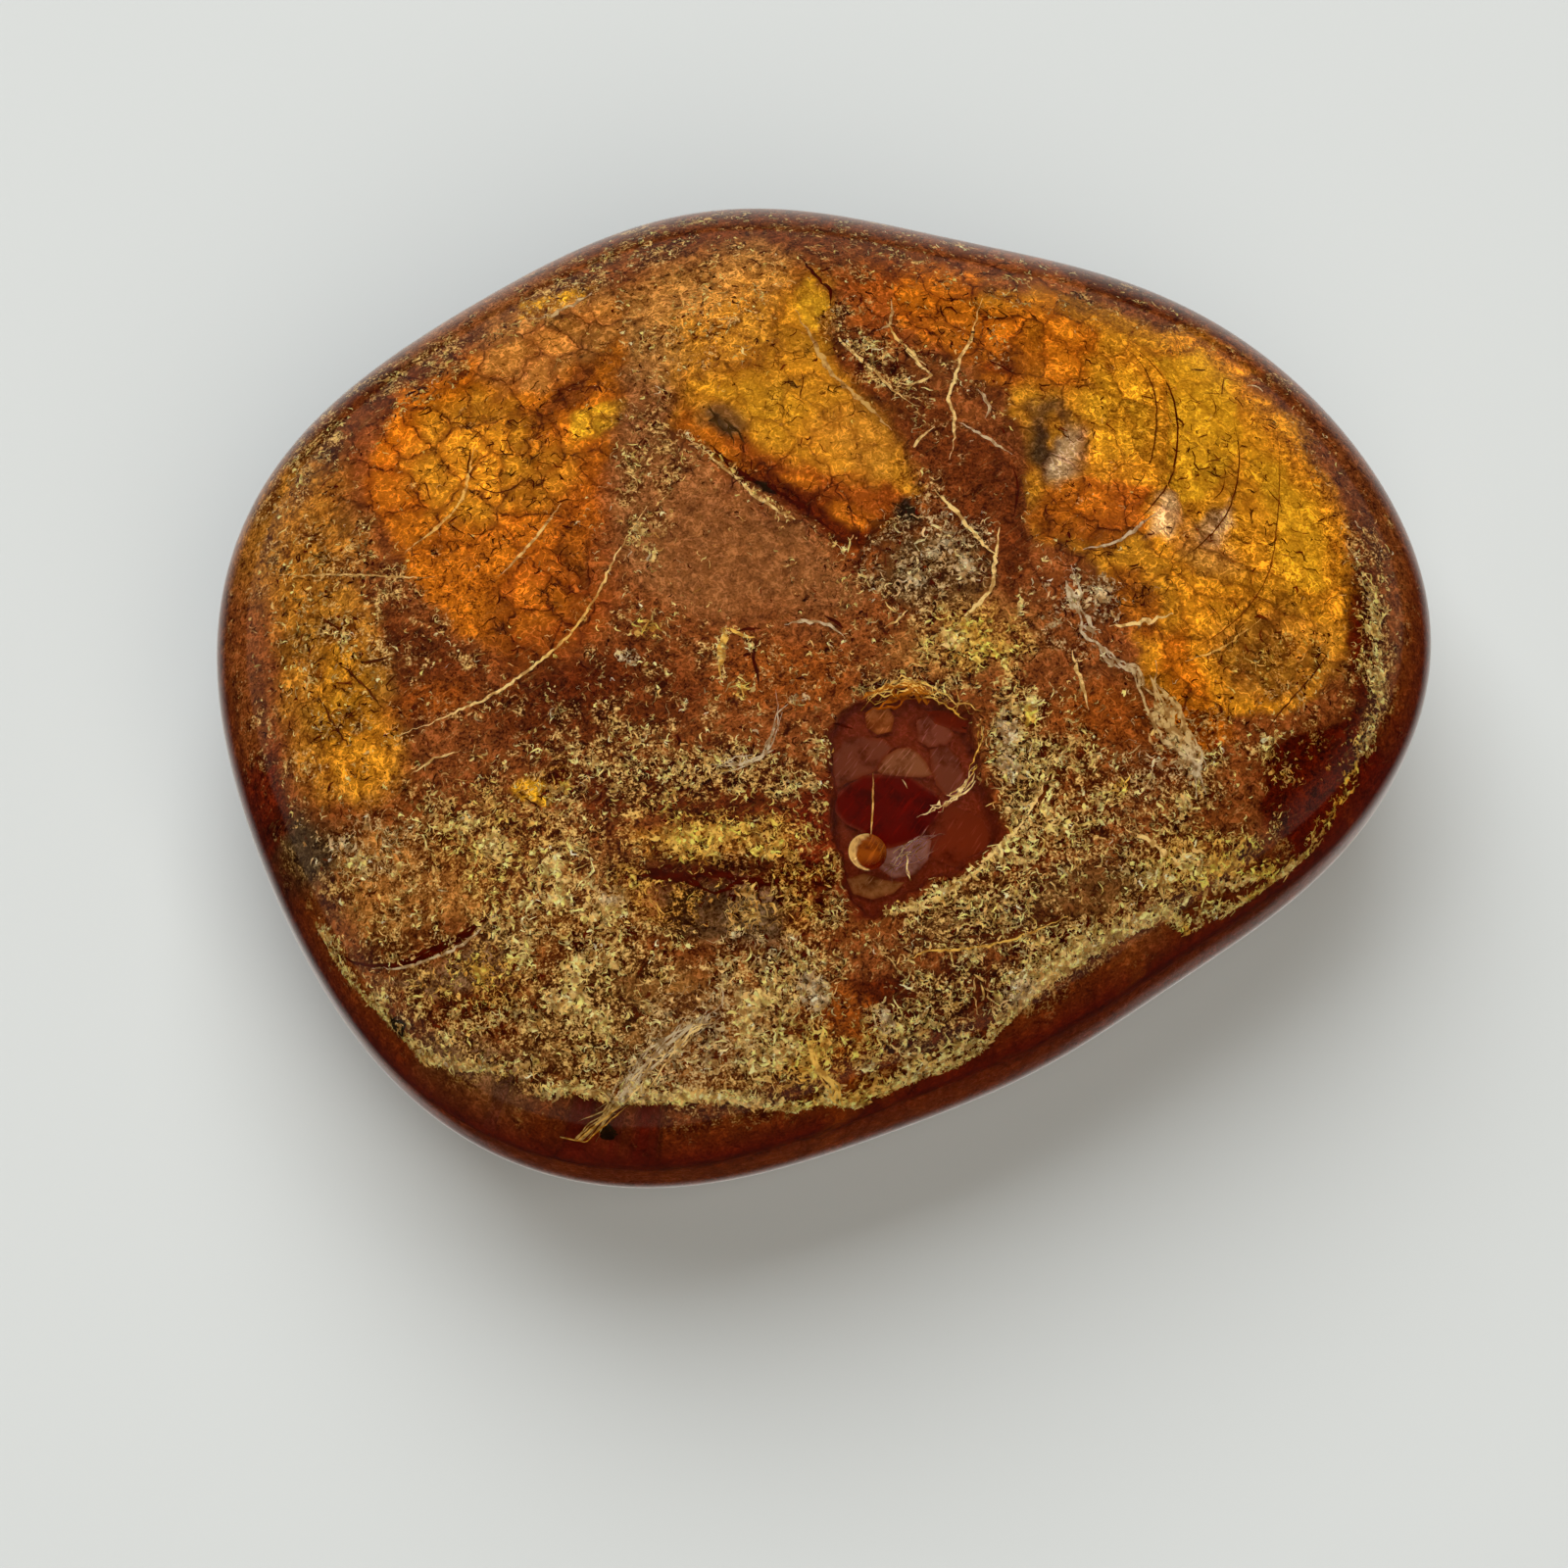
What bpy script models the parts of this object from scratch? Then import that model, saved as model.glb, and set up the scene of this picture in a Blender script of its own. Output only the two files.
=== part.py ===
"""An amber stone: one flattened, polished pebble that rests on the worn flat of its underside.

The stone is modelled in metres, +Z up. Its origin is on the table, under the middle of its box.
X runs along its longest side, and the flank that faces -Y is the one with the clear red rim.
"""

import math
from typing import NamedTuple

import bmesh
import bpy
from mathutils import Vector

MM = 0.001

STONE_NAME = "amber_stone"

# The plan outline at the girth: distances from its centre, at even angles anticlockwise from +X.
OUTLINE_RADII = [
    29.8 * MM, 29.6 * MM, 27.7 * MM, 25.6 * MM, 26.6 * MM,
    27.3 * MM, 28.7 * MM, 30.3 * MM, 29.0 * MM, 28.7 * MM,
    28.0 * MM, 24.2 * MM, 21.8 * MM, 21.9 * MM, 25.3 * MM,
]

# Heights, measured from the table. The belly would reach below it, and is worn flat there.
GIRTH_HEIGHT = 8.8 * MM
CROWN_RISE = 9.8 * MM
BELLY_DROP = 9.9 * MM
FLAT_BLEND = 0.6 * MM

# 2 is a plain ellipse in section, and more is flatter on top with a tighter shoulder.
CROWN_SQUARENESS = 2.75
BELLY_SQUARENESS = 2.35

# 5 gives about 5,000 faces, of 1 to 2 mm each way.
SURFACE_DIVISIONS = 5


class Swell(NamedTuple):
    """A soft rise in the surface, or a hollow where its height is negative."""

    centre: tuple
    reach: float
    height: float


SWELLS = [
    Swell((5.5 * MM, -8.5 * MM, 18.0 * MM), 6.5 * MM, -0.8 * MM),  # hollow over the dark window
    Swell((-4.0 * MM, 3.5 * MM, 18.0 * MM), 8.5 * MM, -0.5 * MM),  # dip in the middle of the crown
    Swell((-19.0 * MM, -2.0 * MM, 16.0 * MM), 9.0 * MM, 0.6 * MM),  # left cheek
    Swell((18.0 * MM, 5.0 * MM, 16.0 * MM), 10.0 * MM, 0.5 * MM),  # right cheek
    Swell((-3.0 * MM, 16.0 * MM, 16.0 * MM), 8.0 * MM, 0.5 * MM),  # far brow
    Swell((-5.0 * MM, -17.0 * MM, 14.0 * MM), 8.0 * MM, 0.4 * MM),  # near lip
    Swell((-14.0 * MM, -14.0 * MM, 3.0 * MM), 9.0 * MM, -0.6 * MM),  # hollow in the belly
    Swell((14.0 * MM, 12.0 * MM, 3.0 * MM), 10.0 * MM, 0.5 * MM),  # swell in the belly
    Swell((27.0 * MM, -4.0 * MM, 8.0 * MM), 8.0 * MM, -0.4 * MM),  # flat on the right flank
]

# The open bubble: a round pit in the polished crown, beside the dark window.
PIT_PLACE = (1.8 * MM, -12.1 * MM)
PIT_RADIUS = 0.9 * MM
PIT_SINK = 0.3 * MM

AMBER_COLOUR = (0.62, 0.22, 0.03, 1.0)
AMBER_ROUGHNESS = 0.08
AMBER_IOR = 1.54


def clear_scene():
    """Remove every object that the scene starts with."""
    for obj in list(bpy.data.objects):
        bpy.data.objects.remove(obj)


def make_collection(name):
    """A new collection in the scene."""
    collection = bpy.data.collections.new(name)
    bpy.context.scene.collection.children.link(collection)
    return collection


def outline_radius(angle):
    """Distance from the centre to the girth at an angle, on one smooth curve through the radii."""
    count = len(OUTLINE_RADII)
    radius = 0.0
    for step, value in enumerate(OUTLINE_RADII):
        offset = angle - math.tau * step / count
        sine = math.sin(offset / 2)
        if abs(sine) < 1e-9:
            return value
        radius += value * math.sin(count * offset / 2) / (count * sine)
    return radius


def pebble_point(direction):
    """The smooth pebble's surface in a direction: a squared ellipse standing on the outline."""
    across = math.hypot(direction.x, direction.y)
    up = abs(direction.z)
    if direction.z >= 0:
        squareness, rise = CROWN_SQUARENESS, CROWN_RISE
    else:
        squareness, rise = BELLY_SQUARENESS, -BELLY_DROP
    stretch = (across**squareness + up**squareness) ** (-1 / squareness)
    angle = math.atan2(direction.y, direction.x)
    reach = outline_radius(angle) * across * stretch
    return Vector((
        reach * math.cos(angle),
        reach * math.sin(angle),
        GIRTH_HEIGHT + rise * up * stretch,
    ))


def swell_height(point):
    """How far the swells and hollows move a point of the pebble outwards."""
    return sum(
        swell.height * math.exp(-(point - Vector(swell.centre)).length_squared / swell.reach**2)
        for swell in SWELLS
    )


def worn_flat(height):
    """A height kept above the table, with a soft turn into the flat."""
    blend = max(FLAT_BLEND - abs(height), 0.0) ** 2 / (4 * FLAT_BLEND)
    return max(height, 0.0) + blend


def stone_point(direction):
    """The stone's surface in a direction from the middle of its girth."""
    point = pebble_point(direction)
    outward = (point - Vector((0, 0, GIRTH_HEIGHT))).normalized()
    point += outward * swell_height(point)
    point.z = worn_flat(point.z)
    return point


def amber_material():
    """Clear, glossy amber."""
    material = bpy.data.materials.new("amber")
    material.use_nodes = True
    shader = material.node_tree.nodes["Principled BSDF"]
    shader.inputs["Base Color"].default_value = AMBER_COLOUR
    shader.inputs["Roughness"].default_value = AMBER_ROUGHNESS
    shader.inputs["Metallic"].default_value = 0.0
    shader.inputs["IOR"].default_value = AMBER_IOR
    shader.inputs["Transmission Weight"].default_value = 1.0
    return material


def make_stone(collection):
    """The stone without its pit, centred over the origin."""
    shape = bmesh.new()
    bmesh.ops.create_icosphere(shape, subdivisions=SURFACE_DIVISIONS, radius=1.0)
    for vertex in shape.verts:
        vertex.co = stone_point(vertex.co.normalized())
    middle = box_middle(shape)
    bmesh.ops.translate(shape, verts=shape.verts, vec=-middle)
    mesh = bpy.data.meshes.new(STONE_NAME)
    shape.to_mesh(mesh)
    shape.free()
    mesh.shade_smooth()
    mesh.materials.append(amber_material())
    stone = bpy.data.objects.new(STONE_NAME, mesh)
    collection.objects.link(stone)
    return stone, middle


def box_middle(shape):
    """The middle of a shape's box in plan, at table height."""
    xs = [vertex.co.x for vertex in shape.verts]
    ys = [vertex.co.y for vertex in shape.verts]
    return Vector(((min(xs) + max(xs)) / 2, (min(ys) + max(ys)) / 2, 0))


def crown_height(stone, x, y):
    """Height of the crown over a place on the table."""
    above = Vector((x, y, GIRTH_HEIGHT + 2 * CROWN_RISE))
    hit, place, _, _ = stone.ray_cast(above, Vector((0, 0, -1)))
    if not hit:
        raise ValueError("there is no crown over that place")
    return place.z


def cut_pit(stone, middle, cutters):
    """Open the round bubble in the crown."""
    x, y = PIT_PLACE[0] - middle.x, PIT_PLACE[1] - middle.y
    bpy.context.view_layer.update()
    shape = bmesh.new()
    bmesh.ops.create_uvsphere(shape, u_segments=20, v_segments=12, radius=PIT_RADIUS)
    mesh = bpy.data.meshes.new("pit_cutter")
    shape.to_mesh(mesh)
    shape.free()
    cutter = bpy.data.objects.new("pit_cutter", mesh)
    cutter.location = (x, y, crown_height(stone, x, y) - PIT_SINK)
    cutter.hide_render = True
    cutter.display_type = "WIRE"
    cutters.objects.link(cutter)
    cut = stone.modifiers.new("pit", "BOOLEAN")
    cut.operation = "DIFFERENCE"
    cut.object = cutter


def main():
    """Build the stone."""
    clear_scene()
    parts = make_collection("amber stone")
    cutters = make_collection("cutters")
    stone, middle = make_stone(parts)
    cut_pit(stone, middle, cutters)


main()
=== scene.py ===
"""The looks of a polished amber stone.

The stone is one clear amber body. Close under its crown lies the weathered layer that gives it its
face: gold windows with dark crazing, a smooth mauve middle whose mauve is partly a painted reflection,
a deep red window with painted reflections on its paler planes beside an open bubble, and a crust of
pale, curled flecks with dark flakes among them as painted shadows. Below the layer's edge the flank is
clear, dark red amber over a heart whose colour is a painted glow of the light seen through it, and
rust strips along the lower edge add more painted glow.

Lengths are in millimetres until a mesh is written, and in metres from there on. A mark on the stone
is placed by the pixel of the 1600 x 1600 photo where it shows, and lies on the stone's own surface.
"""

import logging
import math
from dataclasses import dataclass
from enum import Enum

import bmesh
import bpy
import numpy as np
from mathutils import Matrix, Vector, noise


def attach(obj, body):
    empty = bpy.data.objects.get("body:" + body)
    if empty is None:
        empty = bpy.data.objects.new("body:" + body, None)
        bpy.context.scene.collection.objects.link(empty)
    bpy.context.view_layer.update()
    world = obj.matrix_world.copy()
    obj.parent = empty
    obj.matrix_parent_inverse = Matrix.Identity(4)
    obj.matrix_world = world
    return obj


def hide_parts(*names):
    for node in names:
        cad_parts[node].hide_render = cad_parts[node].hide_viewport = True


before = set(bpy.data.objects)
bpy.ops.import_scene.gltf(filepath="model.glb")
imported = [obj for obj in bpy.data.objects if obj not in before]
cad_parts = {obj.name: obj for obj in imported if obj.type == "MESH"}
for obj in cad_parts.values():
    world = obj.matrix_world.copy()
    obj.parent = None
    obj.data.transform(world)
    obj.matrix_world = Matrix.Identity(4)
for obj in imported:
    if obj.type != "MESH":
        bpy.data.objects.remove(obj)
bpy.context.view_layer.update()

MM = 0.001
BODY = "root"
NODE = "amber_stone"

log = logging.getLogger("amber stone")


def linear(red: int, green: int, blue: int) -> np.ndarray:
    """Turn a screen colour into the linear light that the shaders work in.

    Args:
        red: Red on the screen, from 0 to 255.
        green: Green on the screen.
        blue: Blue on the screen.

    Returns:
        The three linear values.
    """
    screen = np.array([red, green, blue]) / 255
    return np.where(screen > 0.04045, ((screen + 0.055) / 1.055) ** 2.4, screen / 12.92)


def smooth_step(low: float, high: float, values: np.ndarray) -> np.ndarray:
    """Rise softly from 0 at low to 1 at high.

    Args:
        low: Where the rise starts.
        high: Where it ends. It may be less than low, for a fall.
        values: The values to read.

    Returns:
        The shares, from 0 to 1.
    """
    share = np.clip((values - low) / (high - low), 0, 1)
    return share * share * (3 - 2 * share)


def drift(points: np.ndarray, grain: float, octaves: int, shift: float) -> np.ndarray:
    """Soft noise at points, from about -1 to 1.

    Args:
        points: Places, three numbers each.
        grain: The size of the noise's largest features, in the units of the places.
        octaves: How many finer layers it has.
        shift: Moves the noise, so that two calls differ.

    Returns:
        One value for each point.
    """
    moved = points / grain + shift
    return np.array([noise.fractal(Vector(place), 1.0, 2.0, octaves) for place in moved])


class Tint(Enum):
    """Colours of the stone as they show on a screen, seen through its clear skin. A few, such as the lilac and mauve,
    also serve as painted reflections, and rust as painted glow.
    """

    BLACK = (34, 22, 10)
    CHARCOAL = (62, 44, 22)
    RED_BLACK = (66, 10, 0)
    DEEP_RED = (88, 18, 2)
    DEEP_BROWN = (86, 34, 6)
    BROWN = (112, 56, 18)
    RUST = (132, 62, 8)
    ORANGE = (162, 88, 10)
    GOLD = (176, 116, 20)
    BRIGHT_GOLD = (184, 132, 22)
    HONEY = (152, 98, 26)
    WINE = (76, 2, 0)
    SIENNA = (98, 32, 10)
    ROSEWOOD = (108, 50, 30)
    UMBER = (98, 44, 24)
    REFLECTION_BROWN = (118, 66, 36)
    COPPER = (138, 72, 26)
    MAUVE = (126, 75, 34)
    LILAC = (126, 80, 62)
    OLIVE = (90, 56, 22)
    TAN = (158, 106, 44)
    GREY = (108, 80, 48)
    CREAM = (222, 184, 108)
    STRAW = (222, 172, 72)
    ASH = (190, 164, 118)

    def light(self) -> np.ndarray:
        """The colour in linear light."""
        return linear(*self.value)


@dataclass(frozen=True)
class Amber:
    """The clear amber itself: how it bends light and what it takes from it."""

    bend: float = 1.54
    roughness: float = 0.03
    taken: tuple[float, float, float] = (0.035, 0.23, 0.85)
    wave_depth: float = 0.00002

    def passed(self, length: np.ndarray) -> np.ndarray:
        """The share of each colour that is left after a length of amber.

        Args:
            length: Lengths in millimetres.

        Returns:
            Three shares for each length.
        """
        return np.exp(-np.outer(length, self.taken))


@dataclass(frozen=True)
class Swell:
    """A soft rise in the stone's surface, or a hollow where its height is negative."""

    x: float
    y: float
    z: float
    reach: float
    height: float


@dataclass(frozen=True)
class StoneForm:
    """The stone's outer form: the same formula and the same sizes as its solid."""

    outline: tuple[float, ...] = (
        29.8, 29.6, 27.7, 25.6, 26.6, 27.3, 28.7, 30.3, 29.0, 28.7, 28.0, 24.2, 21.8, 21.9, 25.3,
    )
    girth: float = 8.8
    crown_rise: float = 9.8
    belly_drop: float = 9.9
    flat_blend: float = 0.6
    crown_squareness: float = 2.75
    belly_squareness: float = 2.35
    middle: tuple[float, float] = (0.06, -0.729)
    swells: tuple[Swell, ...] = (
        Swell(5.5, -8.5, 18.0, 6.5, -0.8),
        Swell(-4.0, 3.5, 18.0, 8.5, -0.5),
        Swell(-19.0, -2.0, 16.0, 9.0, 0.6),
        Swell(18.0, 5.0, 16.0, 10.0, 0.5),
        Swell(-3.0, 16.0, 16.0, 8.0, 0.5),
        Swell(-5.0, -17.0, 14.0, 8.0, 0.4),
        Swell(-14.0, -14.0, 3.0, 9.0, -0.6),
        Swell(14.0, 12.0, 3.0, 10.0, 0.5),
        Swell(27.0, -4.0, 8.0, 8.0, -0.4),
    )

    def reach(self, angle: np.ndarray) -> np.ndarray:
        """Distance from the middle to the girth.

        Args:
            angle: Angles anticlockwise from +X, in radians.

        Returns:
            The distances.
        """
        count = len(self.outline)
        total = np.zeros_like(angle)
        for step, radius in enumerate(self.outline):
            half = (angle - math.tau * step / count) / 2
            sine = np.sin(half)
            meets = np.abs(sine) < 1e-9
            share = np.sin(count * half) / (count * np.where(meets, 1, sine))
            total += radius * np.where(meets, 1, share)
        return total

    def towards(self, ways: np.ndarray) -> np.ndarray:
        """The surface in some directions from the middle of the girth.

        Args:
            ways: Unit directions.

        Returns:
            Points on the surface.
        """
        across = np.hypot(ways[:, 0], ways[:, 1])
        up = np.abs(ways[:, 2])
        crown = ways[:, 2] >= 0
        power = np.where(crown, self.crown_squareness, self.belly_squareness)
        rise = np.where(crown, self.crown_rise, -self.belly_drop)
        stretch = (across**power + up**power) ** (-1 / power)
        angle = np.arctan2(ways[:, 1], ways[:, 0])
        reach = self.reach(angle) * across * stretch
        arm = np.column_stack([reach * np.cos(angle), reach * np.sin(angle), rise * up * stretch])
        outward = arm / np.linalg.norm(arm, axis=1, keepdims=True)
        points = arm + (0, 0, self.girth)
        moved = np.zeros(len(points))
        for swell in self.swells:
            gap = points - (swell.x, swell.y, swell.z)
            moved += swell.height * np.exp(-(gap**2).sum(axis=1) / swell.reach**2)
        points += outward * moved[:, None]
        blend = np.maximum(self.flat_blend - np.abs(points[:, 2]), 0) ** 2 / (4 * self.flat_blend)
        points[:, 2] = np.maximum(points[:, 2], 0) + blend
        return points + (*self.middle, 0)

    def crown(self, shares: np.ndarray) -> np.ndarray:
        """The crown over places given as shares of the girth's distance.

        Args:
            shares: Two numbers each, in a circle of radius 1.

        Returns:
            Points on the surface.
        """
        reach = np.clip(np.hypot(shares[:, 0], shares[:, 1]), 1e-6, 0.9999)
        power = self.crown_squareness
        slope = (reach**-power - 1) ** (1 / power)
        angle = np.arctan2(shares[:, 1], shares[:, 0])
        across = 1 / np.sqrt(1 + slope**2)
        return self.towards(
            np.column_stack([across * np.cos(angle), across * np.sin(angle), across * slope])
        )

    def crown_normals(self, shares: np.ndarray) -> np.ndarray:
        """Outward directions of the crown over the same kind of places.

        Args:
            shares: Two numbers each, in a circle of radius 1.

        Returns:
            Unit directions.
        """
        step = 1e-3
        right = self.crown(shares + (step, 0)) - self.crown(shares - (step, 0))
        back = self.crown(shares + (0, step)) - self.crown(shares - (0, step))
        normals = np.cross(right, back)
        return normals / np.linalg.norm(normals, axis=1, keepdims=True)


@dataclass(frozen=True)
class PhotoView:
    """The camera, and where it sees each point."""

    frame_side: int = 1600
    elevation: float = 66.0
    lens: float = 85.0
    sensor: float = 36.0
    distance: float = 182.97
    girth_pixel: tuple[float, float] = (842.0, 710.0)

    def axes(self) -> tuple[np.ndarray, np.ndarray, np.ndarray]:
        """The camera's right, up and ahead."""
        tilt = math.radians(self.elevation)
        up = np.array([0, math.sin(tilt), math.cos(tilt)])
        ahead = np.array([0, math.cos(tilt), -math.sin(tilt)])
        return np.array([1.0, 0, 0]), up, ahead

    def scale(self) -> float:
        """Pixels across for a thing as wide as it is far away."""
        return self.frame_side * self.lens / self.sensor

    def place(self, form: StoneForm) -> np.ndarray:
        """Where the camera stands, so that the middle of the girth shows at its pixel.

        Args:
            form: The stone's form.

        Returns:
            The camera's place, in millimetres.
        """
        right, up, ahead = self.axes()
        half = self.frame_side / 2
        across = (self.girth_pixel[0] - half) / self.scale() * self.distance
        above = (half - self.girth_pixel[1]) / self.scale() * self.distance
        aim = np.array([*form.middle, form.girth])
        return aim - ahead * self.distance - right * across - up * above

    def pixels(self, points: np.ndarray, form: StoneForm) -> np.ndarray:
        """The pixels where points show.

        Args:
            points: Points in millimetres.
            form: The stone's form, which the camera is aimed at.

        Returns:
            Two numbers for each point.
        """
        right, up, ahead = self.axes()
        arm = points - self.place(form)
        depth = arm @ ahead
        half = self.frame_side / 2
        return np.column_stack(
            [half + self.scale() * (arm @ right) / depth, half - self.scale() * (arm @ up) / depth]
        )

    def shares(self, pixels: np.ndarray, form: StoneForm) -> np.ndarray:
        """The places on the crown that show at some pixels.

        Args:
            pixels: Two numbers each.
            form: The stone's form.

        Returns:
            Places as StoneForm.crown takes them.
        """
        aim = np.array(self.girth_pixel)
        found = (pixels - aim) * (1, -1) / (600, 520)
        step = 1e-3
        for _ in range(12):
            here = self.pixels(form.crown(found), form)
            by_x = (self.pixels(form.crown(found + (step, 0)), form) - here) / step
            by_y = (self.pixels(form.crown(found + (0, step)), form) - here) / step
            gap = pixels - here
            area = by_x[:, 0] * by_y[:, 1] - by_x[:, 1] * by_y[:, 0]
            move_x = (gap[:, 0] * by_y[:, 1] - gap[:, 1] * by_y[:, 0]) / area
            move_y = (by_x[:, 0] * gap[:, 1] - by_x[:, 1] * gap[:, 0]) / area
            found = found + np.clip(np.column_stack([move_x, move_y]), -0.2, 0.2)
            far = np.linalg.norm(found, axis=1, keepdims=True)
            found = found / np.maximum(far / 0.985, 1)
        return found

    def make(self, form: StoneForm) -> bpy.types.Object:
        """Make the camera and look through it.

        Args:
            form: The stone's form.

        Returns:
            The camera object.
        """
        data = bpy.data.cameras.new("camera")
        data.lens = self.lens
        data.sensor_width = self.sensor
        data.clip_start = 0.01
        camera = bpy.data.objects.new("camera", data)
        camera.location = self.place(form) * MM
        camera.rotation_euler = (math.radians(90 - self.elevation), 0, 0)
        bpy.context.scene.collection.objects.link(camera)
        bpy.context.scene.camera = camera
        return camera


class NodeSheet:
    """A material's nodes, with a short call for each kind that the finishes use."""

    def __init__(self, name: str) -> None:
        """Start a material that has only its output.

        Args:
            name: The material's name.
        """
        self.material = bpy.data.materials.new(name)
        self.material.use_nodes = True
        self.tree = self.material.node_tree
        self.tree.nodes.clear()
        self.output = self.tree.nodes.new("ShaderNodeOutputMaterial")

    def node(self, kind: str, **settings: object) -> bpy.types.Node:
        """Add a node.

        Args:
            kind: The node's type, without its ShaderNode prefix.
            settings: Properties of the node.

        Returns:
            The node.
        """
        made = self.tree.nodes.new("ShaderNode" + kind)
        for name, value in settings.items():
            setattr(made, name, value)
        return made

    def feed(self, socket: bpy.types.NodeSocket, value: object) -> None:
        """Give an input a value or another node's output.

        Args:
            socket: The input.
            value: A number, a colour or an output socket.
        """
        if isinstance(value, bpy.types.NodeSocket):
            self.tree.links.new(value, socket)
        else:
            socket.default_value = value

    def place(self) -> bpy.types.NodeSocket:
        """Object coordinates."""
        return self.node("TexCoord").outputs["Object"]

    def read(self, attribute: str, output: str = "Fac") -> bpy.types.NodeSocket:
        """Read one of the mesh's own attributes.

        Args:
            attribute: Its name.
            output: Fac for a number, or Color.

        Returns:
            The output socket.
        """
        return self.node("Attribute", attribute_name=attribute).outputs[output]

    def math(self, operation: str, *values: object) -> bpy.types.NodeSocket:
        """Work out a number from one, two or three others.

        Args:
            operation: Blender's name for it.
            values: Numbers or sockets.

        Returns:
            The result's socket.
        """
        made = self.node("Math", operation=operation)
        for socket, value in zip(made.inputs, values):
            self.feed(socket, value)
        return made.outputs[0]

    def turn(self, vector: bpy.types.NodeSocket, angle: float, scale: tuple) -> bpy.types.NodeSocket:
        """Turn a pattern about the vertical, and stretch it.

        Args:
            vector: The coordinates.
            angle: The turn in degrees.
            scale: The scale along each axis after the turn.

        Returns:
            The new coordinates.
        """
        turned = self.node("Mapping", vector_type="TEXTURE")
        self.feed(turned.inputs["Vector"], vector)
        turned.inputs["Rotation"].default_value = (0, 0, math.radians(angle))
        scaled = self.node("Mapping")
        self.feed(scaled.inputs["Vector"], turned.outputs[0])
        scaled.inputs["Scale"].default_value = scale
        return scaled.outputs[0]

    def noise(
        self,
        vector: bpy.types.NodeSocket,
        scale: float,
        detail: float = 2.0,
        roughness: float = 0.5,
        warp: float = 0.0,
        output: str = "Fac",
    ) -> bpy.types.NodeSocket:
        """A noise texture.

        Args:
            vector: The coordinates.
            scale: Features to the metre.
            detail: Finer layers.
            roughness: How strong those are.
            warp: How far the noise bends itself.
            output: Fac or Color.

        Returns:
            The output socket.
        """
        made = self.node("TexNoise")
        self.feed(made.inputs["Vector"], vector)
        made.inputs["Scale"].default_value = scale
        made.inputs["Detail"].default_value = detail
        made.inputs["Roughness"].default_value = roughness
        made.inputs["Distortion"].default_value = warp
        return made.outputs[output]

    def cracks(self, vector: bpy.types.NodeSocket, scale: float) -> bpy.types.NodeSocket:
        """Distance to the edges of irregular cells, upright columns that show as cells from above.

        Args:
            vector: The coordinates.
            scale: Cells to the metre.

        Returns:
            The distance, in cells.
        """
        made = self.node("TexVoronoi", feature="DISTANCE_TO_EDGE", voronoi_dimensions="2D")
        self.feed(made.inputs["Vector"], vector)
        made.inputs["Scale"].default_value = scale
        return made.outputs["Distance"]

    def cells(self, vector: bpy.types.NodeSocket, scale: float) -> bpy.types.NodeSocket:
        """A random number for each irregular cell, in the same places as cracks.

        Args:
            vector: The coordinates.
            scale: Cells to the metre.

        Returns:
            The number, from 0 to 1.
        """
        made = self.node("TexVoronoi", feature="F1", voronoi_dimensions="2D")
        self.feed(made.inputs["Vector"], vector)
        made.inputs["Scale"].default_value = scale
        split = self.node("SeparateColor")
        self.feed(split.inputs[0], made.outputs["Color"])
        return split.outputs[0]

    def step(self, value: object, low: object, high: object) -> bpy.types.NodeSocket:
        """Rise softly from 0 at low to 1 at high.

        Args:
            value: What is read.
            low: Where the rise starts.
            high: Where it ends.

        Returns:
            The share, from 0 to 1.
        """
        made = self.node("MapRange", interpolation_type="SMOOTHSTEP")
        for name, item in (("Value", value), ("From Min", low), ("From Max", high)):
            self.feed(made.inputs[name], item)
        return made.outputs["Result"]

    def mix(self, share: object, first: object, second: object, blend: str = "MIX") -> bpy.types.NodeSocket:
        """Blend two colours.

        Args:
            share: How much of the second shows.
            first: The colour under it.
            second: The colour over it.
            blend: Blender's name for the way they blend.

        Returns:
            The colour's socket.
        """
        made = self.node("Mix", data_type="RGBA", blend_type=blend)
        self.feed(made.inputs[0], share)
        self.feed(made.inputs[6], first)
        self.feed(made.inputs[7], second)
        return made.outputs[2]

    def bent(self, vector: bpy.types.NodeSocket, scale: float, reach: float) -> bpy.types.NodeSocket:
        """Coordinates bent by noise, so that a pattern on them loses its straightness.

        Args:
            vector: The coordinates.
            scale: The noise's features to the metre.
            reach: How far it moves them, in metres.

        Returns:
            The new coordinates.
        """
        bend = self.node("VectorMath", operation="SUBTRACT")
        self.feed(bend.inputs[0], self.noise(vector, scale, 2.0, output="Color"))
        bend.inputs[1].default_value = (0.5, 0.5, 0.5)
        moved = self.node("VectorMath", operation="MULTIPLY_ADD")
        self.feed(moved.inputs[0], bend.outputs[0])
        moved.inputs[1].default_value = (reach * 2, reach * 2, reach * 2)
        self.feed(moved.inputs[2], vector)
        return moved.outputs[0]

    def bump(self, height: bpy.types.NodeSocket, distance: float, strength: float = 1.0) -> bpy.types.NodeSocket:
        """A bump from a height.

        Args:
            height: The height, from 0 to 1.
            distance: What 1 stands for, in metres.
            strength: How much of it shows.

        Returns:
            The normal's socket.
        """
        made = self.node("Bump")
        made.inputs["Strength"].default_value = strength
        made.inputs["Distance"].default_value = distance
        self.feed(made.inputs["Height"], height)
        return made.outputs[0]


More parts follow.
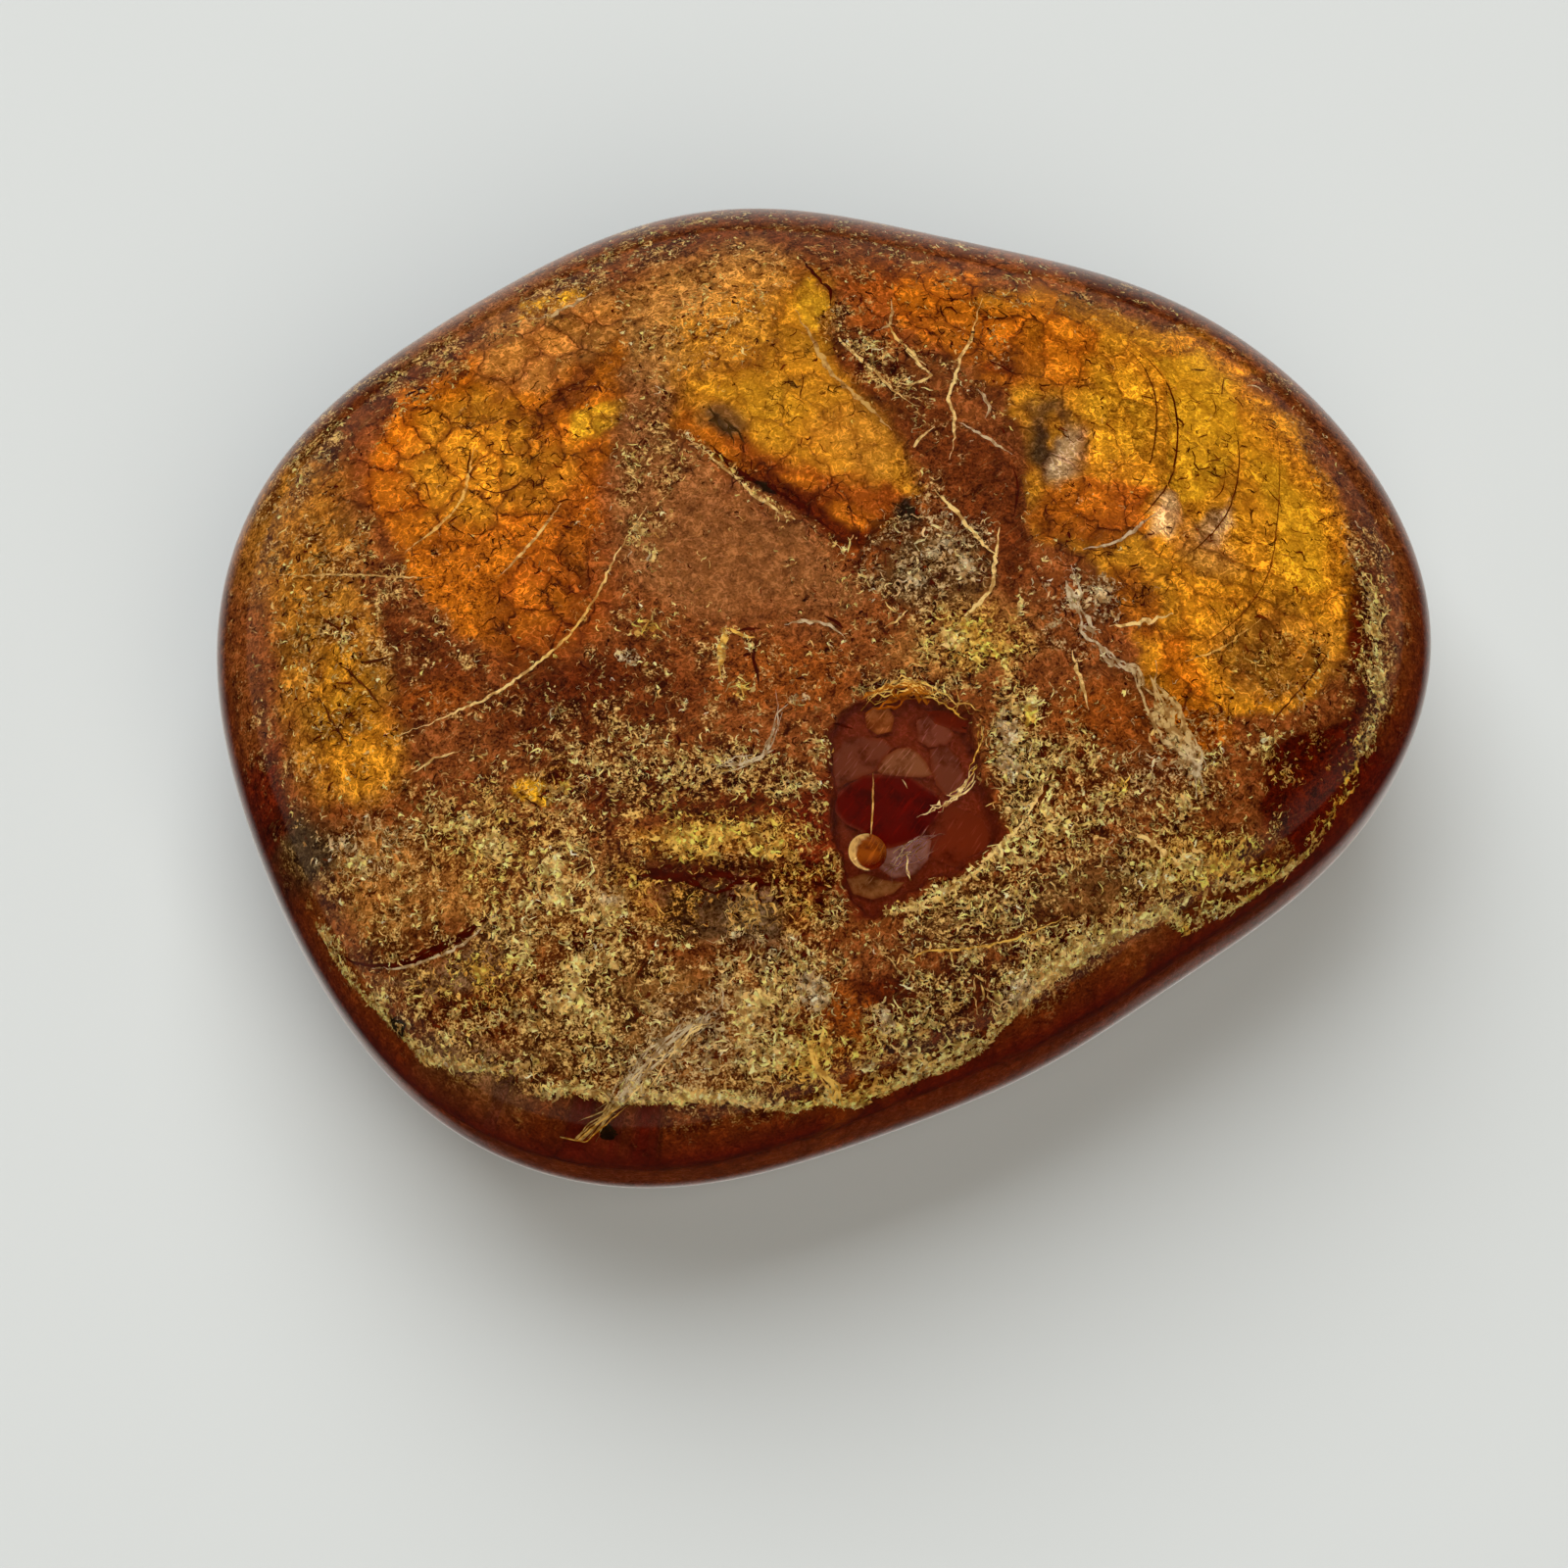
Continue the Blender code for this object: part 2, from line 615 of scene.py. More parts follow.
@dataclass(frozen=True)
class ClearAmberFinish:
    """The polished outside: clear, glossy, softly waved, and tinted by its depth."""

    amber: Amber = Amber()

    def make(self) -> bpy.types.Material:
        """Make the material."""
        sheet = NodeSheet("clear amber")
        shader = sheet.node("BsdfPrincipled")
        shader.inputs["Base Color"].default_value = (1, 1, 1, 1)
        shader.inputs["Transmission Weight"].default_value = 1.0
        shader.inputs["IOR"].default_value = self.amber.bend
        shader.inputs["Specular IOR Level"].default_value = 0.3
        shader.inputs["Specular Tint"].default_value = (1, 0.8, 0.6, 1)
        shader.inputs["Roughness"].default_value = self.amber.roughness
        waves = sheet.noise(sheet.place(), 450, 1.0)
        sheet.feed(shader.inputs["Normal"], sheet.bump(waves, self.amber.wave_depth))
        sheet.feed(sheet.output.inputs["Surface"], shader.outputs[0])
        inside = sheet.node("VolumeAbsorption")
        most = max(self.amber.taken)
        inside.inputs["Density"].default_value = most / MM
        inside.inputs["Color"].default_value = (*(1 - part / most for part in self.amber.taken), 1)
        sheet.feed(sheet.output.inputs["Volume"], inside.outputs[0])
        return sheet.material


@dataclass(frozen=True)
class LayerFinish:
    """The weathered layer: mottled grounds, dark crazing with painted shade along its plates' edges, painted shadow
    under the fleck clumps, and a crust of pale curled flecks.
    """

    def make(self) -> bpy.types.Material:
        """Make the material."""
        sheet = NodeSheet("weathered layer")
        place = sheet.place()
        ground = sheet.read("ground", "Color")
        flecks = sheet.read("flecks")
        crazing = sheet.read("crazing")
        pale = sheet.read("pale", "Color")

        calm = sheet.read("calm")

        bend = sheet.bent(place, 1300, 0.0004)
        broad = sheet.noise(place, 380, 3.0, 0.6)
        fine = sheet.noise(bend, 1500, 4.0, 0.7)
        grain = sheet.noise(bend, 4300, 2.0, 0.7)
        speck = sheet.noise(place, 9500, 1.0)
        ruffle = sheet.math("MULTIPLY_ADD", speck, 0.6, sheet.math("MULTIPLY", grain, 0.8))
        level = sheet.math("MULTIPLY_ADD", fine, 0.8, ruffle)
        lively = sheet.math("MULTIPLY_ADD", calm, -0.8, 1.0)
        mottled = sheet.math("MULTIPLY", lively, sheet.math("MULTIPLY_ADD", crazing, -0.6, 1.0))
        clumps = sheet.noise(place, 620, 4.0, 0.72)
        grown = sheet.step(sheet.math("MULTIPLY_ADD", flecks, 0.34, clumps), 0.66, 0.76)

        shadow = sheet.mix(1.0, ground, (0.45, 0.24, 0.16, 1), "MULTIPLY")
        shaded = sheet.mix(sheet.math("MULTIPLY", grown, 0.8), ground, shadow)
        light = sheet.mix(1.0, shaded, (2.3, 2.5, 2.9, 1), "MULTIPLY")
        deep = sheet.mix(1.0, shaded, (0.2, 0.07, 0.06, 1), "MULTIPLY")
        tone = sheet.mix(sheet.math("MULTIPLY", sheet.step(level, 1.14, 1.34), mottled), shaded, light)
        tone = sheet.mix(sheet.math("MULTIPLY", sheet.step(level, 1.1, 0.9), mottled), tone, deep)
        crinkles = sheet.math("MULTIPLY", self.curls(sheet, bend, 2300, 0.03), sheet.step(fine, 0.42, 0.56))
        bright = sheet.mix(1.0, ground, (2.6, 3.0, 3.8, 1), "MULTIPLY")
        tone = sheet.mix(sheet.math("MULTIPLY", sheet.math("MULTIPLY", crinkles, lively), 0.7), tone, bright)

        shards = sheet.turn(sheet.bent(place, 700, 0.0009), 35, (560, 380, 500))
        gap = sheet.cracks(shards, 1.0)
        hair = sheet.math("MULTIPLY", sheet.step(gap, 0.05, 0.0), sheet.step(fine, 0.4, 0.55))
        small = sheet.math("MULTIPLY", sheet.step(sheet.cracks(bend, 1300), 0.07, 0.0), sheet.step(clumps, 0.5, 0.6))
        lines = sheet.math("MULTIPLY", sheet.math("MAXIMUM", hair, small), crazing)
        # Painted shade: the plates darken towards the crazing's cracks, so that each plate looks rounded.
        edge_shade = sheet.math("MULTIPLY", sheet.math("MULTIPLY", sheet.step(gap, 0.22, 0.0), crazing), 0.6)
        plate = sheet.math("MULTIPLY_ADD", sheet.cells(shards, 1.0), 0.9, 0.65)
        plates = sheet.mix(crazing, tone, sheet.mix(1.0, tone, self.grey(sheet, plate), "MULTIPLY"))
        edge_shaded_plates = sheet.mix(edge_shade, plates, sheet.mix(1.0, plates, (0.5, 0.3, 0.3, 1), "MULTIPLY"))
        crazed = sheet.mix(lines, edge_shaded_plates, sheet.mix(1.0, plates, (0.12, 0.04, 0.08, 1), "MULTIPLY"))

        worn = sheet.mix(1.0, pale, (0.45, 0.33, 0.22, 1), "MULTIPLY")
        crust = sheet.mix(sheet.step(level, 1.14, 1.34), worn, pale)
        peaks = sheet.math("MULTIPLY", grown, sheet.step(level, 1.08, 1.2))
        fibres = sheet.noise(sheet.turn(place, 38, (700, 7500, 1500)), 1.0, 3.0, 0.6)
        fibres = sheet.math("MULTIPLY", sheet.step(fibres, 0.6, 0.68), sheet.math("MULTIPLY_ADD", flecks, 0.5, 0.08))
        share = sheet.math("MULTIPLY", sheet.math("MAXIMUM", peaks, fibres), lively)
        colour = sheet.mix(share, crazed, crust)

        shader = sheet.node("BsdfPrincipled")
        shader.inputs["Roughness"].default_value = 0.8
        shader.inputs["Specular IOR Level"].default_value = 0.0
        sheet.feed(shader.inputs["Base Color"], colour)
        sheet.feed(shader.inputs["Normal"], sheet.bump(broad, 0.0006))
        sheet.feed(sheet.output.inputs["Surface"], shader.outputs[0])
        return sheet.material

    def grey(self, sheet: NodeSheet, value: bpy.types.NodeSocket) -> bpy.types.NodeSocket:
        """A grey colour of a value.

        Args:
            sheet: The material's nodes.
            value: The grey's level.

        Returns:
            The colour's socket.
        """
        made = sheet.node("CombineColor")
        for socket in made.inputs:
            sheet.feed(socket, value)
        return made.outputs[0]

    def curls(
        self, sheet: NodeSheet, vector: bpy.types.NodeSocket, scale: float, half: float
    ) -> bpy.types.NodeSocket:
        """Thin lines that curl about, from 0 to 1.

        Args:
            sheet: The material's nodes.
            vector: The coordinates.
            scale: Curls to the metre.
            half: How thick the lines are, as a share of the noise that they follow.

        Returns:
            The lines' socket.
        """
        level = sheet.noise(vector, scale, 1.0)
        off = sheet.math("ABSOLUTE", sheet.math("SUBTRACT", level, 0.5))
        return sheet.step(off, half * 1.6, half * 0.7)


@dataclass(frozen=True)
class PaleFinish:
    """Cream, straw or ash-coloured weathered amber, mottled, on flakes and veins."""

    def make(self) -> bpy.types.Material:
        """Make the material."""
        sheet = NodeSheet("pale fleck")
        shader = sheet.node("BsdfPrincipled")
        shader.inputs["Roughness"].default_value = 0.8
        shader.inputs["Specular IOR Level"].default_value = 0.0
        tint = sheet.read("tint", "Color")
        mottle = sheet.noise(sheet.place(), 2600, 3.0)
        shadow = sheet.mix(1.0, tint, (0.55, 0.42, 0.3, 1), "MULTIPLY")
        sheet.feed(shader.inputs["Base Color"], sheet.mix(sheet.step(mottle, 0.56, 0.4), tint, shadow))
        sheet.feed(sheet.output.inputs["Surface"], shader.outputs[0])
        return sheet.material


@dataclass(frozen=True)
class PlaneFinish:
    """The smooth walls inside the window and the bubble, faintly clouded and streaked."""

    def make(self) -> bpy.types.Material:
        """Make the material."""
        sheet = NodeSheet("inner wall")
        shader = sheet.node("BsdfPrincipled")
        shader.inputs["Roughness"].default_value = 0.8
        shader.inputs["Specular IOR Level"].default_value = 0.0
        tint = sheet.read("tint", "Color")
        place = sheet.place()
        cloud = sheet.noise(place, 900, 5.0, 0.65)
        streaks = sheet.noise(sheet.turn(place, 55, (900, 9000, 900)), 1.0, 2.0)
        deep = sheet.mix(1.0, tint, (0.5, 0.35, 0.3, 1), "MULTIPLY")
        light = sheet.mix(1.0, tint, (1.5, 1.7, 2.0, 1), "MULTIPLY")
        clouded = sheet.mix(sheet.step(cloud, 0.52, 0.34), tint, deep)
        streaked = sheet.mix(sheet.step(streaks, 0.58, 0.68), clouded, light)
        sheet.feed(shader.inputs["Base Color"], streaked)
        sheet.feed(sheet.output.inputs["Surface"], shader.outputs[0])
        return sheet.material


@dataclass(frozen=True)
class Oval:
    """A soft-edged oval on the stone's face, placed by its pixel.

    What it carries is a tint, or a number such as a depth or a density.
    """

    what: Tint | float
    x: float
    y: float
    wide: float
    high: float
    turn: float = 0.0
    strength: float = 1.0
    soft: float = 0.45

    def cover(self, pixels: np.ndarray) -> np.ndarray:
        """How much of the oval lies over each pixel, from 0 to its strength.

        Args:
            pixels: Two numbers each.

        Returns:
            The cover.
        """
        angle = math.radians(self.turn)
        across = pixels[:, 0] - self.x
        up = self.y - pixels[:, 1]
        along = (across * math.cos(angle) + up * math.sin(angle)) / self.wide
        over = (up * math.cos(angle) - across * math.sin(angle)) / self.high
        return self.strength * smooth_step(1 + self.soft, 1 - self.soft, np.hypot(along, over))


@dataclass(frozen=True)
class Field:
    """A patch of the stone's face with a traced edge, given as its corners' pixels."""

    what: Tint | float
    corners: tuple[tuple[float, float], ...]
    soft: float = 8.0
    strength: float = 1.0
    depth: float = 0.0

    def cover(self, pixels: np.ndarray) -> np.ndarray:
        """How much of the field lies over each pixel, from 0 to its strength.

        Args:
            pixels: Two numbers each.

        Returns:
            The cover.
        """
        x, y = pixels.T
        inside = np.zeros(len(pixels), bool)
        nearest = np.full(len(pixels), 1e9)
        for (x1, y1), (x2, y2) in zip(self.corners, self.corners[1:] + self.corners[:1]):
            side_x, side_y = x2 - x1, y2 - y1
            along = ((x - x1) * side_x + (y - y1) * side_y) / (side_x**2 + side_y**2)
            along = np.clip(along, 0, 1)
            nearest = np.minimum(nearest, np.hypot(x - x1 - along * side_x, y - y1 - along * side_y))
            if y1 != y2:
                crosses = (y1 > y) != (y2 > y)
                inside ^= crosses & (x < x1 + (y - y1) / (y2 - y1) * side_x)
        return self.strength * smooth_step(-self.soft, self.soft, np.where(inside, nearest, -nearest))


@dataclass(frozen=True)
class Stroke:
    """A thin mark along pixels of the photo: a vein, a crack or a scratch."""

    tint: Tint
    width: float
    points: tuple[tuple[float, float], ...]
    ragged: float = 0.5
    lift: float = 0.1
    strands: int = 1
    spread: float = 5.0

    def path(self, spacing: float) -> np.ndarray:
        """A smooth line through the points.

        Args:
            spacing: About how many pixels lie between two of its places.

        Returns:
            Pixels along the line.
        """
        knots = np.array(self.points, float)
        knots = np.vstack([2 * knots[0] - knots[1], knots, 2 * knots[-1] - knots[-2]])
        line = []
        for step in range(1, len(knots) - 2):
            before, start, end, after = knots[step - 1 : step + 3]
            count = max(int(np.linalg.norm(end - start) / spacing), 1)
            for share in np.arange(count) / count:
                line.append(
                    0.5
                    * (
                        2 * start
                        + (end - before) * share
                        + (2 * before - 5 * start + 4 * end - after) * share**2
                        + (3 * start - before - 3 * end + after) * share**3
                    )
                )
        line.append(knots[-2])
        return np.array(line)


RED_BAND = ((262, 860), (290, 900), (326, 967), (345, 1000), (370, 1028), (403, 1061), (426, 1089), (459, 1097), (520, 1100),
    (537, 1122), (553, 1131), (581, 1119), (631, 1133), (709, 1131), (744, 1133), (811, 1142), (844, 1133), (878, 1139), (930, 1112),
    (983, 1094), (1006, 1078), (1033, 1050), (1069, 1014), (1089, 1000), (1133, 972), (1189, 944), (1211, 961), (1283, 936),
    (1333, 894), (1400, 850), (1500, 830), (1400, 1050), (1150, 1250), (700, 1320), (400, 1250), (240, 1050), (200, 870))
WINDOW = ((846, 745), (870, 712), (930, 704), (1000, 724), (1004, 775), (1020, 830), (1016, 866), (975, 898), (925, 918),
    (880, 936), (858, 900), (852, 860), (848, 800))
GROUND = Tint.BROWN
GROUND_OVALS = (
    # the rim of the crown
    Oval(Tint.DEEP_BROWN, 800, 232, 330, 26, 0, 0.6),
    Oval(Tint.DEEP_BROWN, 1190, 300, 150, 24, -22, 0.8),
    Oval(Tint.DEEP_BROWN, 380, 385, 60, 34, 38, 0.9),
    # Painted reflection: a mauve sheen along the upper-left rim.
    Oval(Tint.MAUVE, 470, 320, 120, 16, 32, 0.6),
    # the left window
    Field(Tint.ORANGE, ((405, 400), (450, 375), (520, 345), (585, 320), (628, 310), (640, 345), (632, 400), (625, 450),
        (612, 500), (598, 560), (575, 625), (525, 660), (470, 645), (420, 590), (385, 530), (378, 460))),
    Field(Tint.GOLD, ((430, 410), (480, 395), (520, 400), (545, 440), (530, 490), (490, 530), (440, 520), (415, 470)), 14, 0.8),
    Oval(Tint.GOLD, 560, 480, 36, 26, 40, 0.7),
    Field(Tint.TAN, ((500, 330), (560, 300), (620, 290), (640, 330), (600, 370), (540, 395), (480, 380)), 12, 0.7),
    Oval(Tint.RUST, 555, 625, 60, 44, 40, 0.95),
    Oval(Tint.ORANGE, 550, 615, 36, 24, 30, 0.6),
    Oval(Tint.RUST, 590, 520, 40, 60, -20, 0.6),
    Oval(Tint.DEEP_BROWN, 580, 398, 44, 12, 40, 0.8),
    Field(Tint.BRIGHT_GOLD, ((528, 308), (560, 296), (603, 292), (590, 306), (560, 318), (532, 320)), 3),
    Field(Tint.BRIGHT_GOLD, ((583, 440), (592, 418), (612, 405), (636, 404), (632, 428), (618, 444), (600, 447)), 3),
    # the left shoulder
    Oval(Tint.HONEY, 300, 545, 62, 80, 0, 0.75),
    Field(Tint.HONEY, ((290, 600), (350, 590), (390, 640), (405, 740), (410, 800), (370, 822), (320, 815), (295, 760), (280, 690)), 14),
    Field(Tint.GOLD, ((335, 655), (365, 660), (385, 730), (400, 790), (365, 812), (335, 790), (318, 730)), 12, 0.7),
    Field(Tint.DEEP_BROWN, ((385, 620), (450, 650), (500, 670), (470, 715), (415, 742), (398, 700)), 12, 0.9),
    Oval(Tint.RUST, 430, 715, 50, 18, 20, 0.6),
    Oval(Tint.DEEP_RED, 262, 810, 22, 46, -10, 0.9),
    Oval(Tint.CHARCOAL, 306, 868, 34, 36, 0, 0.95),
    Oval(Tint.RED_BLACK, 275, 850, 16, 36, -20, 0.9),
    # the upper window
    Field(Tint.TAN, ((640, 300), (700, 262), (770, 250), (810, 262), (800, 340), (740, 380), (680, 410), (640, 390)), 16),
    Field(Tint.GOLD, ((690, 330), (740, 300), (800, 280), (838, 290), (850, 340), (800, 390), (730, 400), (690, 390)), 22, 0.75),
    Field(Tint.GOLD, ((677, 423), (700, 385), (745, 370), (785, 345), (800, 290), (838, 286), (850, 340), (880, 390), (925, 440),
        (940, 490), (900, 545), (850, 545), (800, 512), (757, 480), (715, 445))),
    Field(Tint.BRIGHT_GOLD, ((815, 288), (835, 284), (846, 310), (838, 330), (818, 322)), 4),
    Field(Tint.BRIGHT_GOLD, ((720, 390), (760, 375), (800, 385), (830, 410), (800, 440), (760, 430)), 14, 0.5),
    Oval(Tint.HONEY, 880, 440, 46, 40, -40, 0.6),
    Field(Tint.RUST, ((688, 400), (720, 430), (765, 442), (800, 455), (850, 478), (900, 480), (940, 500), (940, 535), (900, 556),
        (860, 562), (800, 525), (750, 490), (700, 450)), 10),
    Field(Tint.RED_BLACK, ((700, 436), (740, 456), (790, 470), (840, 498), (890, 512), (936, 515), (930, 540), (900, 556), (860, 562),
        (800, 525), (750, 490)), 9, 0.75),
    Field(Tint.ORANGE, ((700, 418), (735, 444), (775, 470), (755, 478), (712, 448), (690, 425)), 5, 0.8),
    Oval(Tint.ORANGE, 870, 520, 26, 12, -15, 0.8),
    Oval(Tint.ORANGE, 815, 482, 18, 9, -25, 0.7),
    Oval(Tint.OLIVE, 735, 422, 24, 16, -20, 0.95),
    Oval(Tint.CHARCOAL, 735, 428, 14, 6, -30, 0.9, 0.6),
    Field(Tint.RED_BLACK, ((765, 488), (790, 485), (830, 515), (870, 530), (900, 530), (890, 548), (850, 552), (800, 522)), 6, 0.7),
    Oval(Tint.BLACK, 778, 494, 14, 7, -35, 0.95, 0.3),
    Oval(Tint.BLACK, 926, 517, 12, 16, 20, 0.95, 0.3),
    # between the upper and the right window
    Field(Tint.DEEP_BROWN, ((845, 320), (880, 345), (930, 385), (975, 430), (1000, 480), (960, 500), (925, 450), (880, 400), (850, 360)), 10, 0.8),
    Oval(Tint.RUST, 920, 300, 60, 44, 0, 0.7),
    Field(Tint.ORANGE, ((915, 275), (960, 268), (1005, 280), (1010, 330), (985, 365), (950, 345), (920, 320)), 7, 0.9),
    Field(Tint.ORANGE, ((1000, 310), (1060, 320), (1075, 370), (1040, 395), (1000, 385), (985, 345)), 10, 0.9),
    Oval(Tint.DEEP_RED, 1020, 372, 26, 8, -15, 0.8),
    Field(Tint.DEEP_BROWN, ((960, 430), (1010, 440), (1045, 490), (1055, 560), (1045, 620), (1000, 600), (965, 520)), 12, 0.95),
    Field(Tint.OLIVE, ((915, 545), (950, 540), (1000, 560), (1015, 610), (985, 635), (930, 620), (895, 590)), 14, 0.95),
    # the right window
    Field(Tint.GOLD, ((990, 300), (1017, 290), (1077, 303), (1130, 317), (1177, 330), (1230, 343), (1270, 370), (1290, 403), (1323, 430),
        (1357, 483), (1377, 543), (1392, 603), (1375, 663), (1337, 710), (1297, 727), (1230, 723), (1177, 697), (1157, 657),
        (1137, 603), (1110, 563), (1060, 545), (1045, 500), (1050, 450), (1030, 400), (1075, 360))),
    Field(Tint.ORANGE, ((990, 300), (1075, 305), (1120, 330), (1110, 380), (1070, 400), (1040, 380)), 12, 0.8),
    Field(Tint.BRIGHT_GOLD, ((1183, 357), (1230, 350), (1263, 383), (1270, 417), (1257, 457), (1243, 490), (1210, 508), (1190, 483),
        (1200, 430), (1193, 390)), 4),
    Field(Tint.BRIGHT_GOLD, ((1110, 390), (1150, 375), (1178, 400), (1172, 450), (1140, 470), (1110, 440)), 10, 0.6),
    Field(Tint.BRIGHT_GOLD, ((1263, 430), (1310, 463), (1337, 510), (1363, 550), (1357, 590), (1323, 603), (1310, 550), (1290, 497)), 8, 0.9),
    Field(Tint.OLIVE, ((1050, 410), (1085, 405), (1110, 440), (1105, 485), (1070, 490), (1048, 460)), 9, 0.9),
    Oval(Tint.CHARCOAL, 1062, 450, 12, 16, 0, 0.8),
    Oval(Tint.TAN, 1098, 465, 14, 30, -10, 0.8),
    Field(Tint.RUST, ((1075, 495), (1120, 478), (1170, 500), (1165, 540), (1130, 560), (1070, 548), (1045, 520)), 8, 0.9),
    Oval(Tint.ORANGE, 1100, 510, 36, 20, 0, 0.7),
    Field(Tint.ASH, ((1176, 512), (1198, 498), (1212, 520), (1196, 548), (1172, 548)), 7, 0.55),
    Field(Tint.ASH, ((1222, 540), (1246, 508), (1262, 500), (1258, 528), (1236, 554)), 6, 0.55),
    Oval(Tint.ASH, 1088, 462, 14, 28, -20, 0.5),
    Oval(Tint.GOLD, 1080, 432, 12, 10, 0, 0.9),
    Oval(Tint.OLIVE, 1240, 520, 10, 26, -30, 0.7),
    Field(Tint.RUST, ((1130, 580), (1175, 585), (1190, 620), (1170, 650), (1140, 640)), 8, 0.8),
    Oval(Tint.TAN, 1235, 555, 26, 36, 50, 0.6),
    Field(Tint.HONEY, ((1240, 640), (1300, 620), (1370, 640), (1370, 690), (1320, 715), (1260, 705)), 14, 0.8),
    Field(Tint.ORANGE, ((1180, 640), (1220, 640), (1235, 700), (1260, 760), (1230, 770), (1195, 730)), 10, 0.9),
    Oval(Tint.DEEP_BROWN, 1290, 650, 12, 60, -35, 0.5),
    # the right edge
    Field(Tint.DEEP_BROWN, ((1290, 380), (1340, 420), (1400, 500), (1425, 560), (1400, 590), (1370, 510), (1320, 440)), 12, 0.6),
    Oval(Tint.RED_BLACK, 1393, 660, 20, 80, 0, 0.95),
    Field(Tint.RED_BLACK, ((1283, 790), (1300, 762), (1340, 742), (1388, 722), (1400, 770), (1385, 830), (1340, 878), (1310, 862), (1288, 830))),
    # the middle
    # Painted reflection in part: the middle's mauve stands for a soft sheen over the dip in the crown, on the layer's
    # own brown.
    Field(Tint.MAUVE, ((640, 440), (690, 440), (760, 495), (810, 530), (850, 560), (880, 600), (850, 640), (770, 635), (700, 620),
        (640, 590), (620, 530)), 14),
    Oval(Tint.MAUVE, 655, 430, 30, 60, 0, 0.8),
    Oval(Tint.BROWN, 830, 660, 120, 46, 0, 0.8),
    Oval(Tint.RUST, 800, 690, 70, 34, 0, 0.5),
    Field(Tint.DEEP_BROWN, ((500, 690), (560, 670), (640, 650), (720, 690), (700, 740), (620, 760), (540, 765), (490, 740)), 16, 0.9),
    Oval(Tint.RED_BLACK, 585, 705, 50, 30, 20, 0.5),
    Field(Tint.RED_BLACK, ((590, 790), (680, 775), (760, 785), (840, 800), (850, 840), (780, 850), (680, 830), (600, 840)), 14, 0.75),
    Oval(Tint.TAN, 985, 655, 70, 34, 10, 0.6),
    Field(Tint.HONEY, ((640, 848), (700, 838), (780, 842), (830, 856), (780, 872), (700, 874), (645, 866)), 7, 0.9),
    Field(Tint.RED_BLACK, ((610, 880), (680, 872), (760, 876), (840, 880), (850, 905), (780, 925), (690, 915), (620, 900)), 8, 0.9),
    Field(Tint.CHARCOAL, ((670, 905), (740, 900), (800, 915), (800, 955), (730, 970), (680, 950)), 12, 0.8),
    Oval(Tint.GREY, 765, 925, 22, 30, 0, 0.7),
    Oval(Tint.DEEP_RED, 845, 850, 40, 60, 0, 0.85),
    Field(Tint.CHARCOAL, ((1035, 760), (1060, 750), (1075, 800), (1060, 840), (1035, 820)), 8, 0.8),
    Field(Tint.BROWN, ((1080, 700), (1150, 700), (1200, 780), (1230, 850), (1150, 880), (1090, 850), (1070, 780)), 14, 0.9),
    Oval(Tint.RUST, 1130, 730, 50, 30, 0, 0.5),
    # the lower crown
    Field(Tint.TAN, ((335, 850), (420, 845), (500, 870), (510, 920), (470, 955), (400, 975), (350, 940)), 14, 0.6),
    Oval(Tint.DEEP_BROWN, 430, 962, 90, 18, 15, 0.8),
    Field(Tint.GREY, ((390, 1000), (440, 988), (500, 955), (530, 925), (545, 950), (510, 1000), (450, 1020)), 8, 0.8),
    Field(Tint.OLIVE, ((540, 1000), (620, 960), (700, 985), (720, 1030), (660, 1080), (590, 1100), (520, 1080)), 16, 0.8),
    Oval(Tint.TAN, 575, 920, 80, 50, 0, 0.5),
    Oval(Tint.RED_BLACK, 470, 1030, 40, 16, 0, 0.6),
    Oval(Tint.GREY, 480, 1085, 70, 22, -15, 0.7),
    Oval(Tint.TAN, 730, 1050, 90, 50, 0, 0.5),
    Oval(Tint.RUST, 860, 1050, 60, 44, 0, 0.8),
    Field(Tint.RED_BLACK, ((870, 1000), (950, 990), (1030, 985), (1050, 1010), (1000, 1050), (940, 1060), (890, 1040)), 12, 0.85),
    Field(Tint.OLIVE, ((930, 925), (1000, 900), (1080, 880), (1180, 890), (1200, 910), (1110, 940), (1010, 965), (940, 965)), 10, 0.8),
    Oval(Tint.DEEP_BROWN, 1000, 950, 90, 10, 15, 0.9),
    Field(Tint.MAUVE, ((1090, 950), (1140, 925), (1190, 920), (1180, 940), (1120, 965)), 7, 0.8),
    Field(Tint.BROWN, ((1200, 790), (1260, 780), (1290, 840), (1300, 870), (1240, 870), (1200, 840)), 10, 0.8),
    Field(Tint.DEEP_RED, ((1000, 850), (1060, 830), (1080, 870), (1040, 900), (990, 890)), 10, 0.7),
    Field(Tint.BRIGHT_GOLD, ((524, 806), (526, 793), (548, 789), (562, 797), (560, 812), (544, 818), (530, 815)), 3),
    Field(Tint.DEEP_RED, ((553, 793), (562, 780), (580, 766), (585, 775), (572, 800), (560, 806)), 3),
    # the clear red band under the crust
    Field(Tint.DEEP_RED, RED_BAND, 5),
    # Painted glow: rust strips along the lower edge stand for light coming through the thin edge of the amber.
    Oval(Tint.RUST, 790, 1176, 130, 16, 4, 0.8),
    Oval(Tint.RUST, 660, 1192, 90, 12, -4, 0.7),
    Oval(Tint.RUST, 1010, 1120, 90, 12, 28, 0.6),
    Oval(Tint.RUST, 1180, 1020, 110, 12, 36, 0.6),
    Oval(Tint.RUST, 400, 1090, 90, 16, -42, 0.6),
    Oval(Tint.RUST, 520, 1170, 50, 12, -20, 0.6),
    # the deep red window
    Field(Tint.SIENNA, WINDOW, 5),
)

